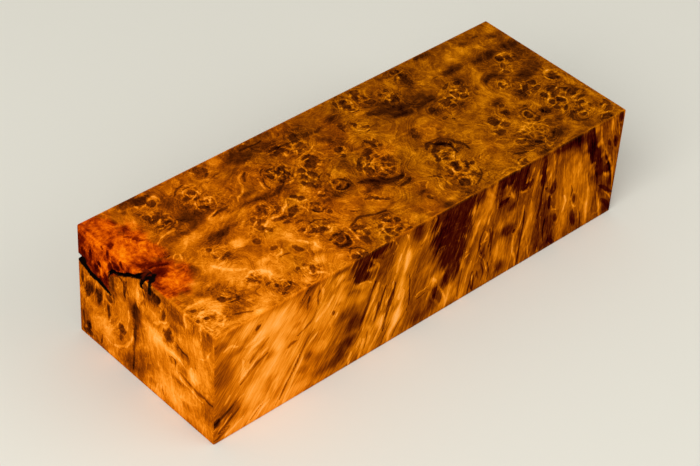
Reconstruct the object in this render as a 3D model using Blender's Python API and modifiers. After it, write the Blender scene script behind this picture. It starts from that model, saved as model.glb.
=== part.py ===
"""Stabilized amboyna burl block: one sawn and sanded piece of burl with a natural fissure at one corner.

Metres, +Z up. X runs along the block's length, Y across its width, and the origin is the centre of the
face it rests on. The fissure opens in the end at -X, and runs out over the top and over the long side at +Y.
"""

import bmesh
import bpy
from mathutils import Vector

MM = 0.001

# Driving dimensions of the sawn block
LENGTH = 130.0 * MM
WIDTH = 48.5 * MM
HEIGHT = 32.0 * MM
ARRIS = 0.35 * MM
ARRIS_SEGMENTS = 2

# The fissure: each run is a hand-drawn line of (along, below the top, half the mouth's width), in millimetres.
# On the end face "along" is measured from the +Y side; on the +Y side it is measured from the end.
END_LOWER_RUN = [
    (-1.2, 9.0, 0.80), (0.8, 9.3, 0.74), (2.6, 10.1, 0.66), (4.6, 11.2, 0.58),
    (7.0, 11.3, 0.46), (9.2, 11.7, 0.40), (11.8, 12.6, 0.16),
]
END_UPPER_RUN = [
    (11.5, 7.9, 0.18), (11.7, 6.6, 0.42), (12.9, 5.2, 0.50), (15.0, 4.5, 0.56),
    (17.0, 3.5, 0.58), (19.2, 1.9, 0.55), (21.5, 0.9, 0.62), (23.6, -0.9, 0.66),
]
SIDE_RUN = [
    (-1.2, 9.0, 0.76), (1.0, 9.1, 0.70), (3.1, 9.8, 0.55), (5.2, 9.7, 0.46),
    (7.4, 10.6, 0.34), (9.6, 10.9, 0.14),
]
# The pocket on the top: (along X from the end, from the +Y side, half the mouth's width), in millimetres
TOP_RUN = [(-1.2, 22.8, 0.80), (0.6, 23.6, 0.95), (1.7, 24.4, 0.80), (3.1, 24.6, 0.20)]

FISSURE_DEPTH_PER_HALF_WIDTH = 3.2
POCKET_DEPTH_PER_HALF_WIDTH = 2.0
FISSURE_RESOLUTION = 2
WELD = 0.001 * MM

BURL_COLOUR = (0.42, 0.16, 0.022, 1.0)
BURL_ROUGHNESS = 0.32


def clear_scene():
    for obj in list(bpy.data.objects):
        bpy.data.objects.remove(obj)


def collection(name):
    made = bpy.data.collections.new(name)
    bpy.context.scene.collection.children.link(made)
    return made


def burl_material():
    material = bpy.data.materials.new("stabilized_burl")
    material.use_nodes = True
    shader = material.node_tree.nodes["Principled BSDF"]
    shader.inputs["Base Color"].default_value = BURL_COLOUR
    shader.inputs["Roughness"].default_value = BURL_ROUGHNESS
    shader.inputs["Metallic"].default_value = 0.0
    return material


def sawn_block(home):
    """The rectangular block, standing on its wide face, with its edges broken by sanding."""
    mesh = bpy.data.meshes.new("burl_block")
    shape = bmesh.new()
    bmesh.ops.create_cube(shape, size=1.0)
    bmesh.ops.scale(shape, vec=(LENGTH, WIDTH, HEIGHT), verts=shape.verts)
    bmesh.ops.translate(shape, vec=(0, 0, HEIGHT / 2), verts=shape.verts)
    shape.to_mesh(mesh)
    shape.free()
    block = bpy.data.objects.new("burl_block", mesh)
    home.objects.link(block)
    arris = block.modifiers.new("arris", "BEVEL")
    arris.width = ARRIS
    arris.segments = ARRIS_SEGMENTS
    return block


def end_points(run):
    """A run on the end face at -X, as (place, radius) pairs in metres."""
    return [
        (Vector((-LENGTH / 2, WIDTH / 2 - along * MM, HEIGHT - below * MM)), half * MM)
        for along, below, half in run
    ]


def side_points(run):
    """A run on the long side at +Y."""
    return [
        (Vector((-LENGTH / 2 + along * MM, WIDTH / 2, HEIGHT - below * MM)), half * MM)
        for along, below, half in run
    ]


def top_points(run):
    """A run on the top face."""
    return [
        (Vector((-LENGTH / 2 + along * MM, WIDTH / 2 - across * MM, HEIGHT)), half * MM)
        for along, across, half in run
    ]


def fissure_cutter(name, points, depth_axis, depth_ratio, home):
    """A tapering tube along a run, centred on the face and stretched into the wood along depth_axis."""
    curve = bpy.data.curves.new(name, "CURVE")
    curve.dimensions = "3D"
    curve.bevel_depth = 1.0
    curve.bevel_resolution = FISSURE_RESOLUTION
    curve.use_fill_caps = True
    spline = curve.splines.new("POLY")
    spline.points.add(len(points) - 1)
    face_level = points[0][0][depth_axis]
    for spline_point, (place, radius) in zip(spline.points, points):
        place = place.copy()
        place[depth_axis] = 0.0
        spline_point.co = (*place, 1.0)
        spline_point.radius = radius
    tube = bpy.data.objects.new(name + "_curve", curve)
    home.objects.link(tube)
    tube.scale[depth_axis] = depth_ratio
    tube.location[depth_axis] = face_level
    bpy.context.view_layer.update()

    graph = bpy.context.evaluated_depsgraph_get()
    mesh = bpy.data.meshes.new_from_object(tube.evaluated_get(graph))
    mesh.transform(tube.matrix_world)
    shape = bmesh.new()
    shape.from_mesh(mesh)
    bmesh.ops.remove_doubles(shape, verts=shape.verts, dist=WELD)
    bmesh.ops.recalc_face_normals(shape, faces=shape.faces)
    shape.to_mesh(mesh)
    shape.free()
    bpy.data.objects.remove(tube)

    cutter = bpy.data.objects.new(name, mesh)
    cutter.hide_render = True
    cutter.display_type = "WIRE"
    home.objects.link(cutter)
    return cutter


def cut(block, cutter):
    modifier = block.modifiers.new(cutter.name, "BOOLEAN")
    modifier.operation = "DIFFERENCE"
    modifier.object = cutter


def main():
    clear_scene()
    parts = collection("amboyna_burl_block")
    cutters = collection("fissure_cutters")

    block = sawn_block(parts)
    runs = [
        ("end_lower_fissure", end_points(END_LOWER_RUN), 0, FISSURE_DEPTH_PER_HALF_WIDTH),
        ("end_upper_fissure", end_points(END_UPPER_RUN), 0, FISSURE_DEPTH_PER_HALF_WIDTH),
        ("side_fissure", side_points(SIDE_RUN), 1, FISSURE_DEPTH_PER_HALF_WIDTH),
        ("top_pocket", top_points(TOP_RUN), 2, POCKET_DEPTH_PER_HALF_WIDTH),
    ]
    for name, points, depth_axis, depth_ratio in runs:
        cut(block, fissure_cutter(name, points, depth_axis, depth_ratio, cutters))
    block.data.materials.append(burl_material())


main()
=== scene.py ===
"""The look of a stabilized amboyna burl block, on a pale studio floor.

The block's skin is one sanded solid with an open fissure. Its figure is drawn: eyes, blots, strands and
clouds are laid on its faces as strokes, and each point of the skin keeps how far it is from them, in
millimetres or in half widths. The finish turns those reaches into tone, and adds the fibres and the grain
between them.
Places on a face are in the sawyer's millimetres: along from the fissured end, across from the far long side,
and below the top.
"""

import math

import bmesh
import bpy
import numpy as np
from mathutils import Matrix, Vector, noise


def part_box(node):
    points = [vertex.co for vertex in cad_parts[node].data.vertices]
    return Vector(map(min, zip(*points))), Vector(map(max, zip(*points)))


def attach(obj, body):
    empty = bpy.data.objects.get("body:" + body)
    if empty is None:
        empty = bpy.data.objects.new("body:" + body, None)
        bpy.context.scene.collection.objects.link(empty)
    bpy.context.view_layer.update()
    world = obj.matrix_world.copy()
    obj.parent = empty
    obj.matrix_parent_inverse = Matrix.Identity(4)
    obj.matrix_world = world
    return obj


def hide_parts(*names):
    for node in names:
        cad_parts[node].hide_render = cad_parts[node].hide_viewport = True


bl_info = {
    "name": "Amboyna Burl Block",
    "version": (1, 0, 0),
    "blender": (4, 5, 0),
    "location": "3D View > Sidebar > Burl Block",
    "description": "A stabilized burl block with its fissure and figure, and a studio round it",
    "category": "Add Mesh",
}

MM = 0.001
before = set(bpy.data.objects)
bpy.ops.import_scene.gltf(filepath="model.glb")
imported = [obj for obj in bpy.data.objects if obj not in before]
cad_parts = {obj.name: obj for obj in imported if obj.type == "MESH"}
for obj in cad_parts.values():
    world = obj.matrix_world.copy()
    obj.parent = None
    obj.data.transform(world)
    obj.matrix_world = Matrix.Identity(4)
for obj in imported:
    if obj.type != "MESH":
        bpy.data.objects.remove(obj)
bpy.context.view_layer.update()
BLOCK_NODE = "burl_block"
BLOCK_LOW, BLOCK_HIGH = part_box(BLOCK_NODE)
BLOCK_SIZE = BLOCK_HIGH - BLOCK_LOW
LONG, WIDE, TALL = (side / MM for side in BLOCK_SIZE)
BODY = "root"

# The fissure's runs on each face, as (along, below or across, half the mouth's width) in millimetres
END_LOWER_RUN = [
    (-1.2, 9.0, 0.80), (0.8, 9.3, 0.74), (2.6, 10.1, 0.66), (4.6, 11.2, 0.58),
    (7.0, 11.3, 0.46), (9.2, 11.7, 0.40), (11.8, 12.6, 0.16),
]
END_UPPER_RUN = [
    (11.5, 7.9, 0.18), (11.7, 6.6, 0.42), (12.9, 5.2, 0.50), (15.0, 4.5, 0.56),
    (17.0, 3.5, 0.58), (19.2, 1.9, 0.55), (21.5, 0.9, 0.62), (23.6, -0.9, 0.66),
]
SIDE_RUN = [
    (-1.2, 9.0, 0.76), (1.0, 9.1, 0.70), (3.1, 9.8, 0.55), (5.2, 9.7, 0.46),
    (7.4, 10.6, 0.34), (9.6, 10.9, 0.14),
]
TOP_RUN = [(-1.2, 22.8, 0.80), (0.6, 23.6, 0.95), (1.7, 24.4, 0.80), (3.1, 24.6, 0.20)]
# Where bark stains the top beyond the pocket
TOP_STAIN = [(2.8, 24.3, 0.35), (1.6, 25.2, 0.40), (0.0, 26.2, 0.30)]

# How far each face's lists are drawn from its true places, in millimetres: at its first corner, and what
# that gains with the share of the length, that share squared, the share of the width, and the product of both
TOP_PULL = ((-0.33, 0.0, 1.3, 0.44, -0.82), (-0.27, -0.32, 0.0, 0.17, 0.52))
SIDE_PULL = ((0.0, 5.2, -4.5, -0.1, -0.5), (-0.13, 0.25, 0.0, 0.95, -1.16))
END_PULL = ((-0.72, -1.0, 1.75, -0.13, -0.07), (0.49, -0.66, 0.0, -0.06, 1.27))

# An oval is two places, two half sizes and a turn in degrees, which is left out where it is 0.
# Eyes on the top: along, across, half length, half width, turn
TOP_EYES = [
    (12.6, 0.4, 2.6, 1.6), (15.6, 1.8, 1.5, 1.2, 30), (17, 4.4, 1.1, 1), (13.3, 7.7, 0.8, 1.1),
    (14.8, 8.9, 0.8, 1), (16.1, 8.1, 0.5, 0.7), (13.7, 10, 0.8, 0.5), (16.6, 9.8, 1, 0.5, 10),
    (16.4, 11.6, 0.6, 0.4), (13.8, 12.3, 0.9, 0.35, 10), (14.4, 13.4, 0.9, 0.3), (22.8, 10.2, 1, 0.7, 20),
    (25.6, 13, 0.7, 1.2, -20), (26.7, 6.8, 0.9, 0.8), (24.3, 8, 1, 0.8), (26.4, 9.4, 1, 0.4, -10),
    (32.8, 2.6, 1.5, 1.9), (17.2, 25, 0.6, 0.6), (19, 29, 0.5, 0.6, 30), (27.4, 29.6, 0.75, 0.85),
    (31.4, 23.4, 0.6, 0.7), (31.2, 26.6, 0.7, 1.1, -30), (32.2, 28, 0.6, 0.8), (32.7, 24.8, 0.9, 0.8),
    (29.2, 33.6, 1, 0.6), (33.1, 37, 0.8, 1.2, -20), (18, 39, 0.7, 0.5, 20), (9, 39.6, 0.8, 1),
    (3, 42.1, 0.5, 0.6), (1, 42, 0.5, 0.6), (2.2, 38.4, 0.5, 0.5), (21.3, 43.7, 0.6, 0.5),
    (24.5, 45, 0.5, 0.6), (22.6, 45.7, 0.8, 0.4), (20.6, 46.6, 0.6, 0.4), (20.4, 41.8, 0.8, 0.4),
    (28.6, 42.2, 0.6, 0.5), (31.2, 44.2, 0.7, 1.3, 20), (27, 48.2, 0.9, 0.5), (46.6, 1.4, 1.1, 0.9, 20),
    (44.8, 13.8, 0.65, 0.9), (46.9, 13.6, 0.6, 0.6), (49.1, 13, 0.8, 1), (48.8, 15.2, 0.6, 0.8),
    (46, 17.1, 0.7, 0.5), (47.7, 17.1, 0.4, 0.5), (46.4, 11.7, 0.8, 0.3), (51.6, 8.8, 0.8, 1),
    (53.6, 8.2, 1, 1.1), (52.6, 6, 1.2, 0.6, -20), (55.4, 6.6, 1.2, 0.4), (58.8, 6.2, 1.1, 1.3),
    (58.2, 9.2, 0.8, 1), (56.5, 10.4, 0.6, 0.8, 20), (56.2, 13.7, 1.6, 0.4), (55.3, 16, 1.4, 1.2, -25),
    (57.3, 15.3, 1, 1.2, 10), (52, 16.6, 0.9, 0.8), (50.8, 18.6, 0.6, 0.9), (53.2, 19.4, 0.6, 1.8, -12),
    (49.2, 20.8, 0.6, 0.7), (49.9, 22.1, 0.8, 0.8, 20), (55.8, 22.1, 0.35, 0.6), (64, 16.3, 1.2, 0.9, -20),
    (63.4, 18.6, 0.6, 0.6), (35.5, 21.3, 1.1, 1, -50), (38.6, 23.7, 0.8, 0.8), (37, 24.4, 0.7, 0.5),
    (39.1, 21, 0.6, 0.35, 20), (36.2, 26.6, 1.7, 0.6, 10), (41, 26.6, 1.4, 1.1, -20),
    (39.6, 27.6, 0.7, 0.5), (37.2, 28.9, 0.8, 0.4, 30), (44.2, 22.9, 1.1, 0.5, 40),
    (45.2, 24.4, 0.9, 0.7, 40), (49.4, 26.3, 0.45, 0.7, -20), (50, 27, 0.4, 0.4),
    (46.6, 27.7, 1, 0.45, 35), (45.2, 29.6, 0.8, 0.9), (47.2, 32, 0.6, 0.8, 20), (39.6, 30.3, 0.9, 0.35),
    (37.8, 33.1, 1, 0.6), (40.8, 35.3, 1.8, 0.9, 18), (63.4, 24.4, 0.7, 1.2, 30), (64.4, 26.6, 0.8, 1.1),
    (64.9, 22.5, 1.2, 0.45, -35), (57.6, 34.2, 1.1, 0.5, 25), (58.7, 35.2, 0.6, 0.5),
    (59.5, 35.9, 0.6, 0.4, 30), (60.6, 36.9, 0.8, 0.45, 20), (42.4, 40.8, 0.9, 0.6),
    (47.6, 39.9, 0.9, 0.7, 10), (49, 40.7, 0.9, 0.7), (49.1, 42.6, 0.5, 0.9), (47, 44.6, 0.8, 1.4),
    (41.2, 47.2, 0.8, 0.8), (43.2, 47.8, 0.7, 0.6), (55.8, 41.1, 1.2, 0.4), (55.1, 42.4, 0.4, 0.7),
    (57, 42.2, 0.3, 0.7), (57.4, 43.6, 0.8, 0.8), (52.8, 43.2, 0.7, 0.5, -20), (52.9, 45.4, 0.5, 1, 20),
    (55.2, 46.3, 0.9, 0.5), (50.8, 47.2, 0.7, 1.2, 25), (57, 47.9, 1.1, 0.5, -10), (53.6, 47.8, 0.7, 0.4),
    (70.8, 9, 0.9, 0.6), (77.4, 3.2, 1.1, 0.8), (77, 5, 1, 0.6), (77.1, 6.6, 0.5, 0.5),
    (75.2, 2.4, 0.5, 1, 20), (82.4, 1.8, 1, 0.9), (81, 3.2, 0.7, 1.1, 20), (82.6, 6.7, 1.3, 0.8, 20),
    (86.5, 9.4, 0.7, 0.8), (88.9, 8.8, 0.7, 0.6), (88.4, 10.3, 0.7, 0.6), (89, 5.8, 0.5, 0.9),
    (86.8, 6.1, 0.6, 0.4), (86, 12.2, 0.5, 0.5), (96.6, 1.6, 0.7, 0.6), (96.6, 3.8, 0.9, 0.8),
    (97.4, 18.2, 1.1, 0.8), (97.2, 19.4, 1, 0.4), (97.4, 20.8, 1.3, 0.5), (99.3, 17.8, 0.8, 0.6),
    (92.6, 18.4, 0.9, 0.7), (94.4, 24.6, 0.4, 0.5), (93, 23.1, 0.7, 0.5), (73.8, 11.2, 0.6, 0.9, -30),
    (75.3, 13.4, 0.9, 0.5, 20), (73.3, 19, 0.4, 0.8), (68.8, 21, 1.3, 0.9, -25),
    (67.6, 22.5, 0.8, 0.4, -40), (69.4, 27.9, 0.6, 0.8), (66.6, 27.4, 0.5, 0.9), (67.9, 30.3, 0.7, 0.4),
    (68.9, 42.9, 0.6, 0.7), (84, 29.4, 1, 0.3, 20), (85.5, 31, 0.6, 0.5), (82.2, 31.1, 0.8, 0.4),
    (82.9, 33.4, 0.9, 0.7), (79.8, 33.9, 0.7, 0.7), (81.6, 34.6, 0.9, 0.4), (81.6, 37.5, 0.9, 0.9),
    (81.6, 39.4, 1, 0.5), (79.1, 38.9, 0.6, 1), (83.4, 40.6, 0.7, 0.6), (84.7, 38.9, 0.4, 0.9, 10),
    (85.7, 39.7, 0.4, 0.8, 10), (79.2, 43.8, 1.2, 1), (82.9, 42.7, 0.7, 0.5), (83.2, 44.2, 1, 0.5, -20),
    (95.4, 47.4, 1.2, 0.7), (83.6, 21.8, 0.4, 0.5), (81.8, 23.6, 0.7, 0.4, -15), (99.5, 35.9, 0.9, 0.9),
    (98.7, 34.9, 0.6, 0.5), (123.2, 3, 0.9, 0.5, 20), (105.4, 0.5, 1.6, 0.6), (102, 13.7, 1.4, 0.45, -25),
    (105.4, 14.6, 0.8, 0.7), (101.8, 17.5, 0.8, 1.1), (104.4, 17.2, 0.9, 1.1), (103, 19.3, 1, 0.7),
    (100.2, 21.2, 0.9, 0.7), (121.2, 13.8, 0.9, 0.7), (123.2, 15.4, 0.7, 1.3, -10),
    (119.6, 16.6, 1.2, 0.6, -40), (118.6, 18.9, 0.6, 0.8, 30), (113.6, 21.6, 1.1, 0.4, -35),
    (113.5, 22.9, 0.9, 0.5, -35), (115.6, 22.4, 0.4, 1.3, 25), (115.3, 28.4, 0.6, 0.8),
    (72, 19.6, 0.7, 1.5, 15), (117.2, 26.8, 0.6, 1.4, 32), (120.4, 25.9, 1.1, 0.8),
    (119.8, 28.2, 1.2, 0.6, -15), (126.8, 27.1, 1, 1.6, 20), (107, 26.8, 0.6, 0.5, -12),
    (107.6, 28.3, 0.7, 0.5), (106, 30.8, 1, 0.9), (101, 31.7, 1.2, 1.2), (102.6, 34, 0.9, 0.8),
    (111.7, 31.9, 0.4, 0.6), (109.8, 34.9, 0.9, 1), (113.6, 35.6, 0.6, 0.7), (114.6, 37.2, 0.8, 0.5),
    (118.9, 31.6, 0.8, 0.9), (122.4, 30.6, 1.2, 0.8, -20), (122, 32.7, 1.9, 0.5, -24),
    (125.4, 35, 1.7, 1, -15), (125.6, 37.9, 1.3, 0.5), (120.8, 35.5, 0.9, 1), (118.4, 35, 0.9, 0.6, -30),
    (118, 37, 0.8, 0.7), (119.4, 38.6, 1.1, 0.5, -20), (123, 39.2, 0.5, 0.7), (124.2, 39.5, 0.6, 0.6),
    (121, 41.1, 0.6, 0.5), (122.4, 41.2, 0.4, 0.7), (120.9, 43.3, 0.9, 0.45), (127.6, 43, 0.8, 0.5),
    (129.2, 43.2, 0.6, 1.2), (127.6, 45.3, 1.4, 0.6), (125, 47.3, 1.7, 0.7), (107.2, 40.4, 0.4, 0.5),
    (107.9, 41.3, 0.4, 0.5), (100.6, 41, 1.1, 0.8, 20),
]

# Thin dark strands on the top: half width and the places they pass
TOP_DARK_STRANDS = [
    (0.45, (22.8, 5.2), (24.4, 4.6), (25.2, 3.8), (27, 3.4)),
    (0.55, (25.3, 17), (27.5, 16.4), (30.6, 15.9)),
    (0.6, (5.2, 9.8), (6.6, 11.6), (8.2, 13.6)),
    (0.45, (9.8, 41.4), (11.2, 42), (12.4, 41.2), (12.9, 39.6)),
    (0.5, (8.2, 44.6), (10.2, 45.6), (12.2, 46.6)),
    (0.5, (45.6, 1.7), (47.4, 2.1), (49.2, 2.3), (52, 1.9)),
    (0.7, (41.4, 8.6), (40, 9.8), (39.2, 11.6)),
    (0.3, (42.8, 12.6), (43.6, 11.2), (45.4, 10.7)),
    (0.35, (42.8, 12.6), (42, 15.4), (42, 17.6)),
    (0.55, (54.2, 25), (55.8, 24.2), (57.2, 24.8), (57.8, 26.2), (57, 27.8), (55.4, 28.3), (54.2, 27.6),
     (53.8, 26.2)),
    (0.3, (58, 24), (58.6, 26), (57.8, 28.4)),
    (0.35, (44.6, 28.4), (44.6, 29.6), (45.6, 30.6), (47, 30.4)),
    (0.35, (40.2, 31.8), (42.6, 32.2), (44.4, 33.6), (45.4, 33.8)),
    (1.3, (59.4, 28.3), (61.6, 29.3), (63.8, 31), (66.6, 33)),
    (0.35, (50.8, 34.6), (52, 35.8)),
    (0.55, (47, 39), (49.4, 38), (51.4, 37.7), (53.6, 38.8), (56, 39.6), (58, 39.6)),
    (0.6, (40.8, 39.6), (42.4, 38.7), (43.8, 39.6)),
    (0.8, (40.7, 40.6), (40.9, 42.2), (42.3, 43.1), (43.9, 42.3), (44.2, 40.6)),
    (0.35, (40.6, 46.2), (42, 45), (44, 45.6), (44.8, 47)),
    (0.3, (69.8, 9.4), (69.7, 12.4)),
    (0.3, (76.4, 7.7), (78.6, 7.5)),
    (0.5, (71.2, 16.8), (71.6, 18.8), (72.4, 20.8)),
    (0.8, (66, 32.2), (68, 33), (69.2, 32.6)),
    (0.6, (66.2, 35.2), (68.4, 35.3), (70.2, 34.5)),
    (0.8, (80.6, 29.2), (82.2, 28), (84.2, 27.8), (86.2, 28.5), (87.8, 30), (88.6, 32), (89, 35)),
    (0.6, (79.4, 34.2), (80.2, 32.6), (81.4, 31), (82.8, 29.8), (84.4, 29.4), (85.8, 30.4), (86.2, 32.6),
     (85.6, 35)),
    (0.35, (85.8, 41.6), (84.8, 43.8), (82.6, 45.6), (80.4, 46.2)),
    (0.35, (76.4, 46.4), (77.6, 48)),
    (0.4, (95, 43.6), (97.2, 44.4), (99.6, 44.8)),
    (0.25, (102, 9.6), (104.4, 9.4)),
    (0.35, (108.2, 36.2), (108, 34.4), (108.8, 33), (110.4, 32.6), (111.6, 33.6), (111.4, 35.6)),
    (0.5, (109.2, 37.1), (110.6, 37.7), (111.7, 36.8)),
    (0.6, (117.4, 43), (118.8, 44.8), (120.2, 45.4)),
    (0.35, (8.2, 21.4), (9.4, 20.8)),
    (0.4, (2.4, 21.4), (5.4, 22), (7.6, 23.2)),
    (0.4, (73.6, 37), (75, 37.8), (76, 39.4)),
    (0.3, (27.4, 36.8), (29.6, 36.6), (30.6, 37.4)),
    (0.3, (99, 40), (99.6, 42.4), (101.4, 44), (103.8, 44.6)),
    (0.3, (72.2, 14), (73.6, 15.4), (75.4, 15)),
]

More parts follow.
